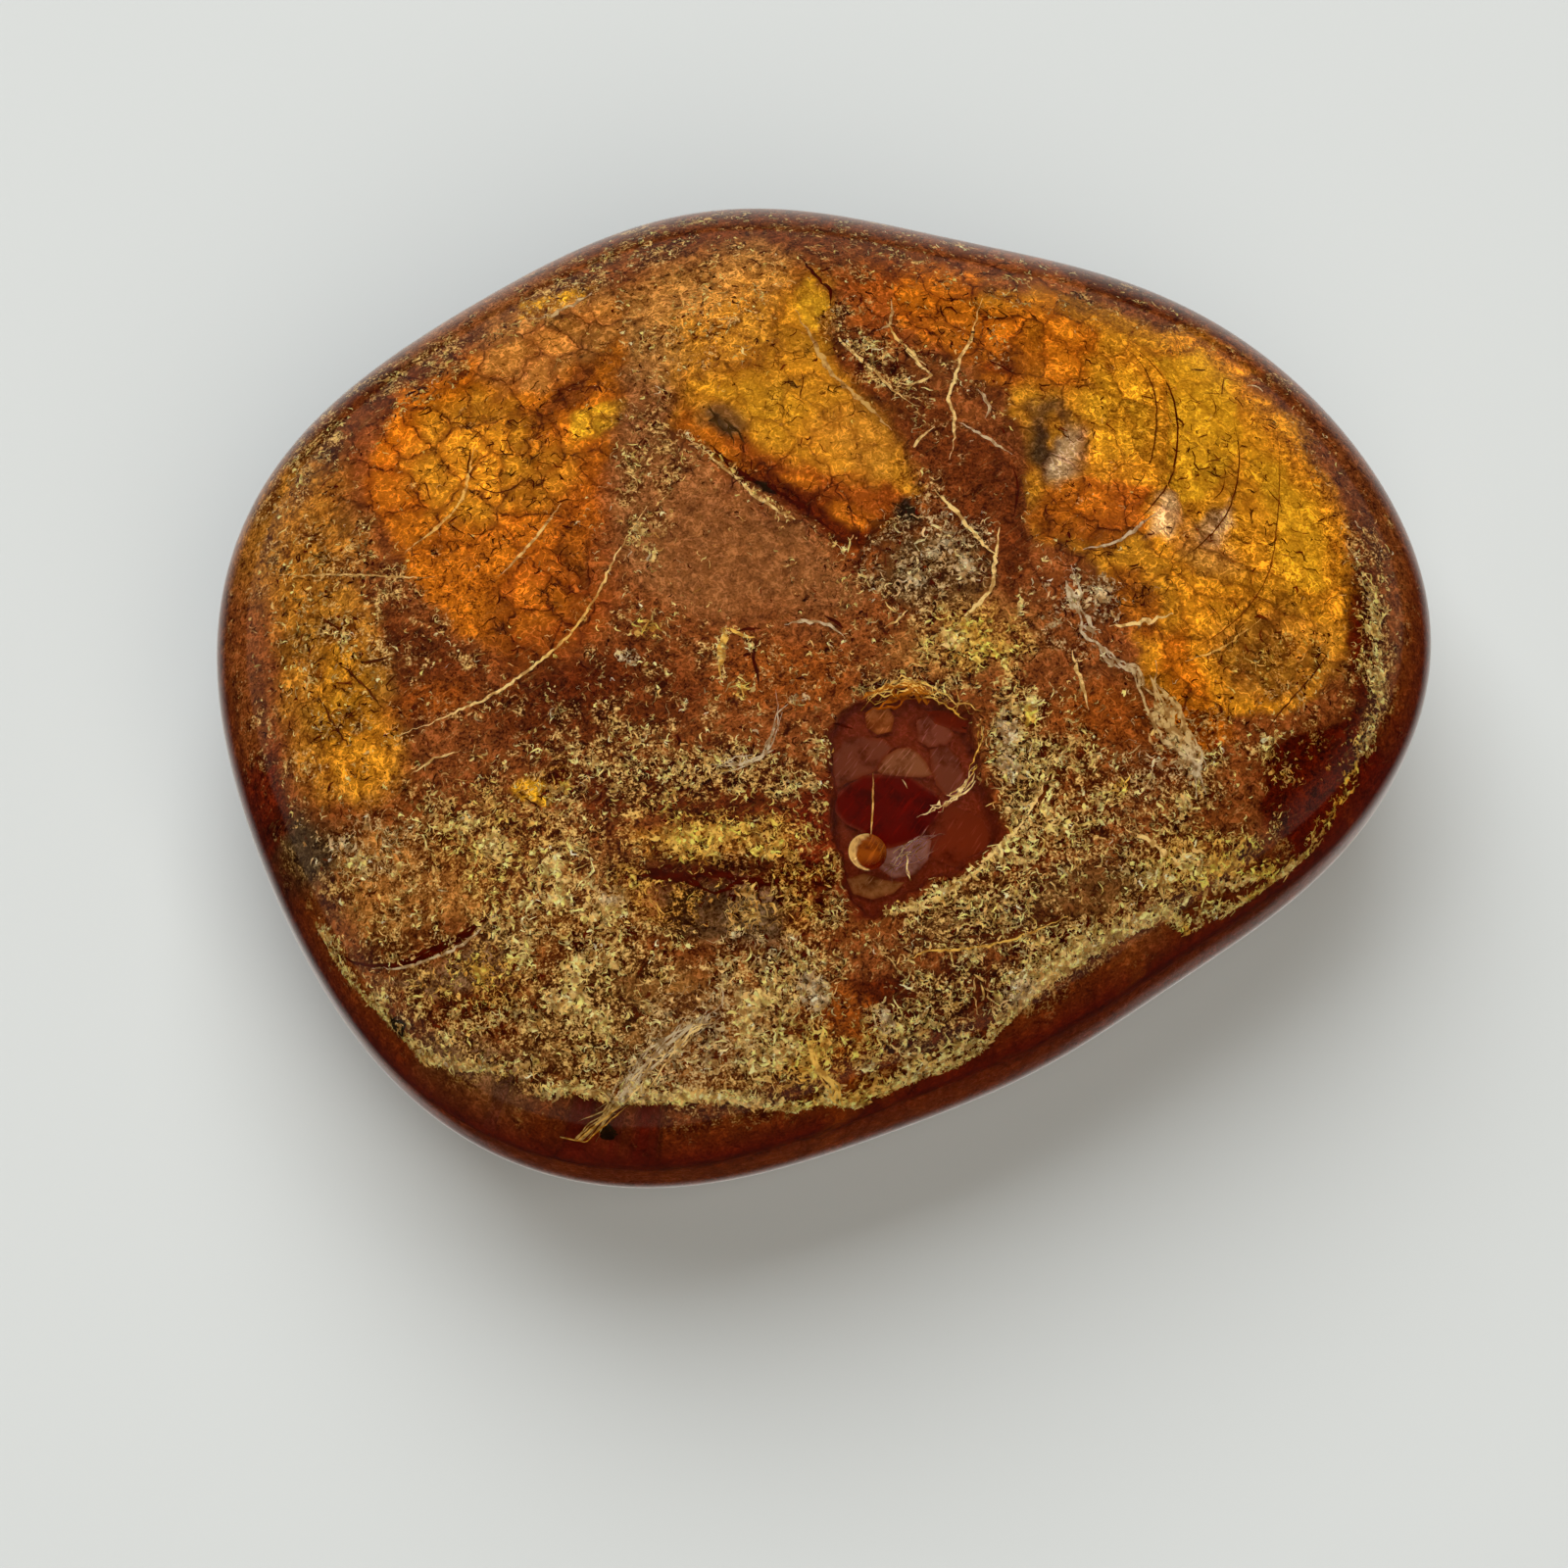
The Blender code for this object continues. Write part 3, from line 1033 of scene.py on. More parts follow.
FLECKS_EVERYWHERE = 0.34
FLECK_OVALS = (
    Field(0.1, ((405, 400), (450, 375), (520, 345), (585, 320), (628, 310), (640, 345), (632, 400), (625, 450),
        (612, 500), (598, 560), (575, 625), (525, 660), (470, 645), (420, 590), (385, 530), (378, 460)), 14),
    Field(0.06, ((677, 423), (700, 385), (745, 370), (785, 345), (800, 290), (838, 286), (850, 340), (880, 390), (925, 440),
        (940, 490), (900, 545), (850, 545), (800, 512), (757, 480), (715, 445)), 10),
    Field(0.06, ((1030, 320), (1077, 313), (1130, 327), (1177, 340), (1230, 353), (1260, 370), (1280, 403), (1313, 440),
        (1347, 493), (1367, 543), (1380, 603), (1365, 653), (1297, 690), (1230, 713), (1177, 687), (1157, 657),
        (1147, 603), (1110, 563), (1060, 545), (1045, 500), (1050, 450), (1030, 400)), 14),
    Oval(0.12, 940, 315, 50, 34, 0),
    Oval(0.16, 1010, 500, 46, 90, 0),
    Oval(0.16, 745, 570, 110, 60, -20),
    Oval(0.5, 620, 270, 120, 26, 25),
    Oval(0.42, 690, 320, 50, 50, 0),
    Oval(0.5, 335, 580, 70, 60, 0),
    Oval(0.5, 350, 650, 66, 60, 0),
    Oval(0.35, 360, 750, 40, 60, 0),
    Oval(0.6, 660, 480, 26, 90, 0),
    Oval(0.65, 885, 355, 22, 70, 45),
    Oval(0.6, 430, 380, 70, 20, 35),
    Oval(0.7, 320, 450, 90, 24, 55),
    Oval(0.75, 950, 570, 60, 60, 0),
    Oval(0.85, 985, 650, 60, 36, 0),
    Oval(0.6, 1110, 610, 30, 34, 0),
    Oval(0.5, 1320, 670, 60, 34, 0),
    Oval(0.8, 1405, 660, 14, 100, 0),
    Oval(0.35, 640, 690, 90, 50, 0),
    Oval(0.7, 660, 780, 130, 50, 0),
    Oval(0.85, 740, 790, 80, 22, 0),
    Oval(1.0, 735, 856, 95, 20, 0),
    Oval(0.75, 500, 860, 110, 60, 0),
    Oval(0.65, 370, 890, 70, 56, 0),
    Oval(0.55, 420, 950, 80, 40, 0),
    Oval(0.9, 575, 960, 110, 90, 0),
    Oval(0.7, 470, 1040, 90, 60, -20),
    Oval(0.85, 640, 1070, 130, 56, 0),
    Oval(0.95, 740, 1090, 80, 50, 0),
    Oval(0.85, 790, 1010, 60, 60, 0),
    Oval(1.0, 850, 1105, 70, 36, -30),
    Oval(0.85, 930, 1070, 70, 46, 10),
    Oval(0.5, 720, 930, 70, 26, 0),
    Oval(0.7, 830, 900, 50, 60, 0),
    Oval(0.9, 1040, 760, 24, 70, 0),
    Oval(0.7, 940, 705, 60, 12, 0),
    Oval(0.7, 870, 716, 20, 16, 0),
    Oval(0.9, 1050, 850, 50, 40, 40),
    Oval(0.7, 1000, 905, 110, 34, 25),
    Oval(0.75, 1010, 970, 90, 40, 20),
    Oval(0.95, 1090, 980, 80, 34, 35),
    Oval(0.75, 1090, 800, 40, 70, 0),
    Oval(0.7, 1160, 830, 90, 60, 0),
    Oval(1.0, 1245, 888, 90, 34, 12),
    Oval(0.85, 1215, 780, 40, 50, -30),
    Oval(0.25, 1345, 800, 50, 40, 0),
    Oval(0.85, 1390, 830, 26, 60, -40),
    Oval(0.9, 1310, 880, 40, 20, 40),
    Field(0.0, WINDOW, 8),
    Field(0.0, RED_BAND, 5),
)

# Thick clusters of flakes.
CLUMPS = (
    Oval(Tint.CREAM, 741, 642, 8, 6, 0),
    Oval(Tint.CREAM, 735, 662, 6, 18, 5),
    Oval(Tint.CREAM, 737, 688, 6, 10, 0),
    Oval(Tint.STRAW, 757, 703, 11, 10, 30),
    Oval(Tint.CREAM, 764, 657, 9, 7, 0),
    Oval(Tint.CREAM, 699, 715, 7, 9, 0),
    Oval(Tint.STRAW, 661, 640, 14, 11, 0),
    Oval(Tint.ASH, 815, 711, 11, 6, 0),
    Oval(Tint.ASH, 640, 670, 14, 12, 0),
    Oval(Tint.CREAM, 838, 764, 12, 14, 0),
    Oval(Tint.CREAM, 838, 800, 9, 8, 0),
    Oval(Tint.STRAW, 735, 848, 40, 11, 0),
    Oval(Tint.STRAW, 790, 866, 26, 9, 0),
    Oval(Tint.STRAW, 690, 856, 26, 8, 0),
    Oval(Tint.ASH, 762, 905, 13, 12, 0),
    Oval(Tint.ASH, 768, 930, 16, 16, 0),
    Oval(Tint.ASH, 750, 950, 10, 10, 0),
    Oval(Tint.CREAM, 618, 925, 24, 15, 20),
    Oval(Tint.ASH, 630, 910, 20, 12, 20),
    Oval(Tint.CREAM, 478, 838, 20, 12, 0),
    Oval(Tint.CREAM, 505, 860, 18, 20, 0),
    Oval(Tint.CREAM, 560, 880, 20, 14, 40),
    Oval(Tint.CREAM, 570, 910, 14, 24, 0),
    Oval(Tint.STRAW, 575, 800, 12, 10, 0),
    Oval(Tint.CREAM, 362, 878, 20, 9, 0),
    Oval(Tint.ASH, 345, 862, 14, 10, 0),
    Oval(Tint.CREAM, 455, 1062, 8, 14, 0),
    Oval(Tint.CREAM, 425, 1082, 14, 6, 0),
    Oval(Tint.CREAM, 388, 1020, 14, 8, -30),
    Oval(Tint.STRAW, 490, 992, 16, 14, 0),
    Oval(Tint.CREAM, 590, 985, 20, 12, 0),
    Oval(Tint.CREAM, 575, 1020, 26, 18, 0),
    Oval(Tint.CREAM, 610, 1045, 16, 20, 0),
    Oval(Tint.CREAM, 650, 1110, 18, 10, 20),
    Oval(Tint.CREAM, 700, 1120, 22, 8, 0),
    Oval(Tint.CREAM, 760, 1050, 14, 34, 10),
    Oval(Tint.CREAM, 780, 1020, 26, 16, 40),
    Oval(Tint.ASH, 830, 1010, 20, 26, 0),
    Oval(Tint.CREAM, 800, 1075, 26, 14, 30),
    Oval(Tint.STRAW, 832, 1085, 9, 26, -25),
    Oval(Tint.CREAM, 850, 1120, 12, 18, -20),
    Oval(Tint.CREAM, 885, 1090, 14, 12, 0),
    Oval(Tint.CREAM, 870, 1135, 12, 6, 0),
    Oval(Tint.CREAM, 940, 1085, 20, 14, 0),
    Oval(Tint.ASH, 905, 1040, 12, 18, 0),
    Oval(Tint.CREAM, 985, 1065, 26, 12, 25),
    Oval(Tint.ASH, 1040, 1010, 26, 12, 35),
    Oval(Tint.CREAM, 1075, 985, 28, 14, 30),
    Oval(Tint.CREAM, 1110, 962, 30, 12, 25),
    Oval(Tint.CREAM, 1155, 945, 20, 8, 20),
    Oval(Tint.STRAW, 1212, 955, 7, 12, 0),
    Oval(Tint.CREAM, 1180, 895, 26, 12, 10),
    Oval(Tint.STRAW, 1245, 885, 36, 14, 10),
    Oval(Tint.CREAM, 1215, 880, 18, 16, 0),
    Oval(Tint.STRAW, 1290, 890, 26, 10, 20),
    Oval(Tint.CREAM, 1320, 893, 16, 9, 30),
    Oval(Tint.STRAW, 1284, 925, 8, 14, 0),
    Oval(Tint.CREAM, 1255, 905, 30, 8, 10),
    Oval(Tint.ASH, 1030, 745, 14, 22, 0),
    Oval(Tint.ASH, 1030, 780, 14, 18, 0),
    Oval(Tint.CREAM, 1052, 710, 7, 14, 0),
    Oval(Tint.STRAW, 1050, 730, 9, 12, 0),
    Oval(Tint.CREAM, 1075, 840, 14, 16, 0),
    Oval(Tint.CREAM, 1050, 870, 16, 12, 0),
    Oval(Tint.ASH, 1185, 725, 12, 18, -20),
    Oval(Tint.ASH, 1205, 750, 11, 18, -30),
    Oval(Tint.ASH, 1220, 780, 10, 16, -20),
    Oval(Tint.CREAM, 1210, 820, 10, 16, 0),
    Oval(Tint.STRAW, 1145, 803, 10, 9, 0),
    Oval(Tint.ASH, 1322, 798, 9, 8, 0),
    Oval(Tint.ASH, 1318, 785, 8, 6, 0),
    Oval(Tint.CREAM, 1295, 760, 8, 12, 0),
    Oval(Tint.CREAM, 1305, 750, 12, 6, 20),
    Oval(Tint.STRAW, 995, 640, 22, 14, 0),
    Oval(Tint.STRAW, 1010, 660, 20, 12, 0),
    Oval(Tint.CREAM, 970, 650, 14, 12, 0),
    Oval(Tint.CREAM, 1042, 618, 5, 12, 0),
    Oval(Tint.ASH, 1120, 605, 14, 16, -30),
    Oval(Tint.ASH, 1100, 590, 8, 12, 0),
    Oval(Tint.ASH, 955, 560, 16, 12, 0),
    Oval(Tint.ASH, 930, 590, 12, 10, 0),
    Oval(Tint.ASH, 985, 575, 12, 10, 0),
    Oval(Tint.CREAM, 300, 470, 8, 16, -30),
    Oval(Tint.CREAM, 290, 500, 9, 9, 0),
    Oval(Tint.CREAM, 400, 385, 16, 6, 30),
    Oval(Tint.CREAM, 352, 650, 7, 14, 0),
    Oval(Tint.CREAM, 330, 640, 8, 8, 0),
    Oval(Tint.CREAM, 1405, 620, 6, 20, 0),
    Oval(Tint.CREAM, 1410, 690, 6, 24, 0),
    Oval(Tint.CREAM, 1398, 760, 6, 20, -15),
    Oval(Tint.CREAM, 650, 545, 10, 16, 0),
    Oval(Tint.CREAM, 665, 565, 9, 12, 0),
    Oval(Tint.CREAM, 925, 385, 9, 5, -40),
    Oval(Tint.CREAM, 905, 365, 9, 5, -40),
    Oval(Tint.CREAM, 890, 350, 12, 6, -40),
)

STRAW_OVALS = (
    Oval(Tint.STRAW, 740, 850, 110, 40, 0, 0.9),
    Oval(Tint.STRAW, 1000, 650, 60, 40, 0, 0.8),
    Oval(Tint.STRAW, 1265, 885, 80, 36, 0, 0.85),
    Oval(Tint.STRAW, 850, 1095, 60, 50, -40, 0.8),
    Oval(Tint.STRAW, 500, 860, 60, 60, 0, 0.5),
    Oval(Tint.STRAW, 480, 1000, 50, 30, 0, 0.7),
    Oval(Tint.ASH, 765, 925, 40, 50, 0, 0.9),
    Oval(Tint.ASH, 950, 560, 80, 60, 0, 0.8),
    Oval(Tint.ASH, 1110, 610, 50, 60, 0, 0.9),
    Oval(Tint.ASH, 1195, 740, 40, 70, -30, 0.9),
    Oval(Tint.ASH, 700, 1060, 80, 50, 40, 0.6),
    Oval(Tint.STRAW, 1380, 800, 50, 90, 0, 0.5),
    Oval(Tint.ASH, 360, 860, 60, 40, 0, 0.6),
)

# Tints of the dark flakes, which are painted shadows among the pale flakes.
FLAKE_SHADOW_TINTS = (
    Oval(Tint.DEEP_BROWN, 640, 1080, 200, 80, 0, 0.8),
    Oval(Tint.BROWN, 430, 900, 120, 90, 0, 0.6),
    Oval(Tint.BLACK, 1000, 770, 60, 100, 0, 0.6),
    Oval(Tint.DEEP_BROWN, 1180, 830, 120, 100, 0, 0.6),
)

CRAZING_OVALS = (
    Oval(1.0, 480, 460, 160, 100, 10),
    Oval(0.9, 560, 370, 90, 60, 38),
    Oval(1.0, 560, 620, 70, 60, 40),
    Oval(0.6, 340, 680, 70, 120, 0),
    Oval(0.55, 790, 380, 130, 110, -30),
    Oval(1.0, 820, 500, 120, 46, -25),
    Oval(1.0, 1000, 330, 130, 80, 0),
    Oval(0.75, 1120, 420, 120, 110, 0),
    Oval(0.4, 1260, 430, 90, 110, 0),
    Oval(0.9, 1130, 560, 100, 60, 0),
    Oval(0.7, 1260, 660, 140, 100, 0),
)

CALM_OVALS = (
    Field(0.9, RED_BAND, 6),
    Field(0.8, WINDOW, 6),
    Oval(0.45, 740, 570, 110, 60, -20),
    Field(0.5, ((683, 450), (745, 370), (785, 345), (800, 290), (838, 286), (850, 340), (880, 390), (925, 440), (900, 500), (800, 440)), 20),
    Field(0.55, ((1183, 357), (1230, 350), (1263, 383), (1310, 463), (1363, 550), (1357, 590), (1310, 550), (1243, 490), (1210, 508)), 8),
)

# Depths below the clear skin, in millimetres.
HOLLOW_OVALS = (
    Field(1.7, RED_BAND, 7),
    Oval(0.45, 490, 465, 110, 90, 30),
    Oval(0.4, 560, 370, 60, 44, 38),
    Oval(0.5, 560, 615, 56, 44, 40),
    Field(0.6, ((677, 413), (700, 385), (745, 370), (785, 345), (800, 290), (838, 286), (850, 340), (880, 390), (925, 440),
        (940, 490), (900, 545), (850, 550), (800, 515), (757, 483), (715, 448)), 7),
    Oval(0.4, 950, 310, 60, 40, 0),
    Oval(0.5, 1120, 410, 90, 90, 0),
    Field(0.8, ((1183, 357), (1230, 343), (1270, 370), (1310, 440), (1357, 500), (1385, 590), (1340, 620), (1290, 590), (1210, 515),
        (1190, 483), (1200, 430)), 8),
    Oval(0.5, 1300, 640, 80, 50, 0),
    Oval(0.4, 1210, 700, 50, 60, 0),
    Field(0.5, ((610, 880), (680, 872), (760, 876), (850, 880), (850, 925), (790, 950), (690, 945), (620, 910)), 7),
    Oval(0.7, 1345, 800, 50, 50, 10),
    Oval(0.7, 568, 784, 12, 20, -30, 1.0, 0.25),
    Field(1.2, ((850, 748), (872, 716), (930, 708), (998, 727), (1001, 775), (1015, 830), (1011, 862), (973, 893), (925, 912),
        (885, 930), (862, 898), (857, 860), (853, 800)), 5),
)

# Flat planes in the deep red window, over its floor. The umber, light brown, lilac and mauve planes are painted
# reflections off cracks inside the amber; the wine, deep red and sienna planes are the window's own dark red.
PLANES_AND_REFLECTIONS = (
    Field(Tint.UMBER, ((852, 762), (862, 748), (880, 744), (905, 748), (913, 757), (903, 768), (896, 780), (883, 786), (866, 792),
        (853, 800)), depth=1.36),
    Field(Tint.UMBER, ((950, 759), (967, 754), (980, 768), (987, 789), (984, 808), (967, 806), (957, 795), (952, 780)), depth=1.36),
    Field(Tint.SIENNA, ((952, 826), (975, 816), (1004, 830), (1014, 852), (1004, 868), (978, 880), (957, 872), (944, 856)), depth=1.38),
    Field(Tint.ROSEWOOD, ((936, 729), (952, 724), (968, 730), (975, 746), (966, 756), (949, 757), (938, 750)), depth=1.3),
    Field(Tint.DEEP_RED, ((944, 720), (968, 719), (1000, 724), (1002, 744), (980, 742), (955, 733)), depth=1.26),
    Field(Tint.LILAC, ((897, 866), (915, 858), (942, 846), (953, 852), (950, 872), (938, 888), (915, 892), (900, 882)), depth=1.32),
    Field(Tint.MAUVE, ((866, 892), (885, 886), (905, 893), (926, 896), (915, 908), (893, 914), (873, 908)), depth=1.3),
    Field(Tint.WINE, ((883, 785), (908, 784), (930, 786), (944, 796), (960, 806), (966, 820), (954, 836), (942, 850), (926, 856),
        (911, 860), (896, 852), (880, 842), (864, 834), (854, 822), (853, 808), (866, 796)), depth=1.28),
    Field(Tint.REFLECTION_BROWN, ((897, 781), (900, 773), (906, 765), (917, 758), (929, 757), (939, 763), (947, 773), (953, 785), (944, 788),
        (930, 787), (915, 786), (904, 785)), depth=1.2),
    Field(Tint.COPPER, ((884, 722), (892, 715), (908, 716), (914, 727), (911, 741), (897, 744), (886, 737)), depth=1.2),
)

PALE_STROKES = (
    # the network between the upper and the right window
    Stroke(Tint.CREAM, 0.16, ((1002, 302), (997, 322), (989, 348), (981, 360), (976, 383), (968, 402), (974, 425), (974, 448), (968, 467))),
    Stroke(Tint.CREAM, 0.14, ((922, 352), (937, 368), (949, 381), (930, 390), (914, 387))),
    Stroke(Tint.ASH, 0.12, ((910, 300), (909, 325), (895, 335))),
    Stroke(Tint.CREAM, 0.14, ((905, 322), (915, 341), (930, 356), (945, 371))),
    Stroke(Tint.CREAM, 0.14, ((834, 318), (861, 348), (891, 375), (914, 398), (937, 413))),
    Stroke(Tint.ASH, 0.2, ((811, 310), (826, 333), (842, 364), (865, 390), (891, 413), (910, 433)), 0.8),
    Stroke(Tint.CREAM, 0.2, ((953, 498), (976, 521), (998, 547), (1018, 567))),
    Stroke(Tint.CREAM, 0.18, ((1020, 536), (1016, 567), (1012, 597), (1000, 612), (974, 639))),
    Stroke(Tint.ASH, 0.16, ((998, 394), (1010, 413), (1006, 425))),
    Stroke(Tint.ASH, 0.14, ((979, 429), (1006, 444), (1033, 461))),
    Stroke(Tint.CREAM, 0.14, ((953, 434), (937, 448), (922, 467))),
    Stroke(Tint.CREAM, 0.1, ((903, 639), (915, 632), (926, 620))),
    Stroke(Tint.ASH, 0.14, ((1094, 588), (1098, 612), (1108, 636), (1114, 657)), 0.8, 0.15, 8, 5.0),
    Stroke(Tint.ASH, 0.13, ((1110, 652), (1140, 674), (1162, 684), (1170, 706)), 0.8, 0.15, 8, 4.0),
    Stroke(Tint.CREAM, 0.2, ((1132, 637), (1159, 635), (1186, 628), (1198, 624)), 0.8),
    Stroke(Tint.ASH, 0.16, ((1106, 559), (1140, 551), (1167, 532), (1182, 521))),
    Stroke(Tint.CREAM, 0.16, ((1094, 662), (1102, 689), (1111, 723))),
    Stroke(Tint.CREAM, 0.16, ((1041, 609), (1039, 628))),
    Stroke(Tint.ASH, 0.16, ((1168, 684), (1176, 706), (1195, 733), (1216, 768), (1226, 800)), 0.8, 0.15, 20, 8.0),
    Stroke(Tint.CREAM, 0.1, ((1212, 672), (1240, 662), (1262, 650), (1290, 628))),
    # the upper window's lower edge
    Stroke(Tint.CREAM, 0.13, ((700, 444), (738, 475), (777, 509), (807, 526), (838, 538), (861, 563))),
    # the left window
    Stroke(Tint.CREAM, 0.14, ((412, 561), (436, 541), (455, 522), (471, 500), (477, 478), (483, 450))),
    Stroke(Tint.CREAM, 0.14, ((508, 586), (525, 570), (544, 548), (560, 526), (572, 510))),
    Stroke(Tint.CREAM, 0.1, ((283, 586), (328, 585), (366, 585), (404, 587), (442, 587))),
    Stroke(Tint.CREAM, 0.13, ((404, 749), (436, 738), (471, 722), (503, 707), (535, 685), (560, 663), (583, 640), (608, 604), (632, 560), (660, 515))),
    Stroke(Tint.CREAM, 0.1, ((417, 790), (442, 774), (470, 764))),
    Stroke(Tint.ASH, 0.2, ((540, 322), (565, 317), (590, 305), (605, 295)), 0.8),
    # the deep red window
    Stroke(Tint.CREAM, 0.07, ((936, 840), (946, 831), (962, 818), (980, 806), (998, 786)), 0.9, 0.9, 8, 3.5),
    Stroke(Tint.CREAM, 0.05, ((921, 795), (924, 799), (926, 804)), 0.2, 1.1),
    Stroke(Tint.STRAW, 0.06, ((884, 716), (905, 706), (930, 700), (960, 712), (1000, 722)), 0.9, 0.3, 16, 5.0),
    Stroke(Tint.ORANGE, 0.16, ((886, 712), (915, 704), (940, 706), (955, 718)), 0.9, 0.3, 14, 6.0),
    Stroke(Tint.STRAW, 0.06, ((999, 732), (1001, 752), (996, 775), (984, 800)), 0.5, 0.6, 5, 2.0),
    Stroke(Tint.LILAC, 0.05, ((905, 890), (925, 872), (945, 856), (958, 846)), 0.3, 1.1, 14, 8.0),
    Stroke(Tint.ASH, 0.03, ((908, 886), (926, 870), (944, 856)), 0.3, 1.15, 7, 6.0),
    Stroke(Tint.CREAM, 0.06, ((925, 868), (926, 885), (930, 897)), 0.5, 1.1, 3, 1.5),
    # the middle
    Stroke(Tint.STRAW, 0.3, ((741, 638), (737, 658), (735, 687))),
    Stroke(Tint.STRAW, 0.2, ((741, 638), (757, 646), (770, 649))),
    Stroke(Tint.ASH, 0.07, ((712, 770), (730, 777), (750, 777), (770, 771), (784, 762), (793, 739), (797, 721), (794, 698)), 0.3, 0.15, 12, 4.0),
    Stroke(Tint.ASH, 0.16, ((800, 636), (822, 632), (845, 636), (862, 648))),
    Stroke(Tint.CREAM, 0.16, ((1076, 765), (1061, 810), (1034, 849), (988, 895), (950, 918), (900, 930)), 0.8),
    Stroke(Tint.STRAW, 0.12, ((920, 984), (945, 971), (974, 969), (1009, 965), (1047, 955), (1090, 935))),
    Stroke(Tint.CREAM, 0.08, ((892, 786), (892, 815), (890, 853)), 0.2, 0.3),
    Stroke(Tint.CREAM, 0.16, ((1149, 845), (1183, 864), (1214, 891)), 0.8),
    # the lower crown
    Stroke(Tint.ASH, 0.12, ((377, 988), (407, 988), (438, 978), (468, 965), (491, 946), (510, 926))),
    Stroke(Tint.ASH, 0.06, ((564, 1194), (600, 1158), (624, 1130), (644, 1106), (667, 1079), (698, 1053), (732, 1026), (746, 1012)), 0.3,
        0.15, 26, 6.0),
    Stroke(Tint.CREAM, 0.08, ((640, 1122), (662, 1096), (690, 1070), (720, 1044)), 0.4, 0.15, 16, 5.0),
    Stroke(Tint.CREAM, 0.07, ((564, 1194), (598, 1162), (631, 1133), (672, 1085)), 0.3, 0.2),
    Stroke(Tint.STRAW, 0.05, ((578, 1190), (610, 1160), (640, 1133)), 0.3, 0.2),
    Stroke(Tint.STRAW, 0.12, ((826, 1066), (836, 1090), (850, 1108), (862, 1136)), 0.5, 0.2, 14, 5.0),
)

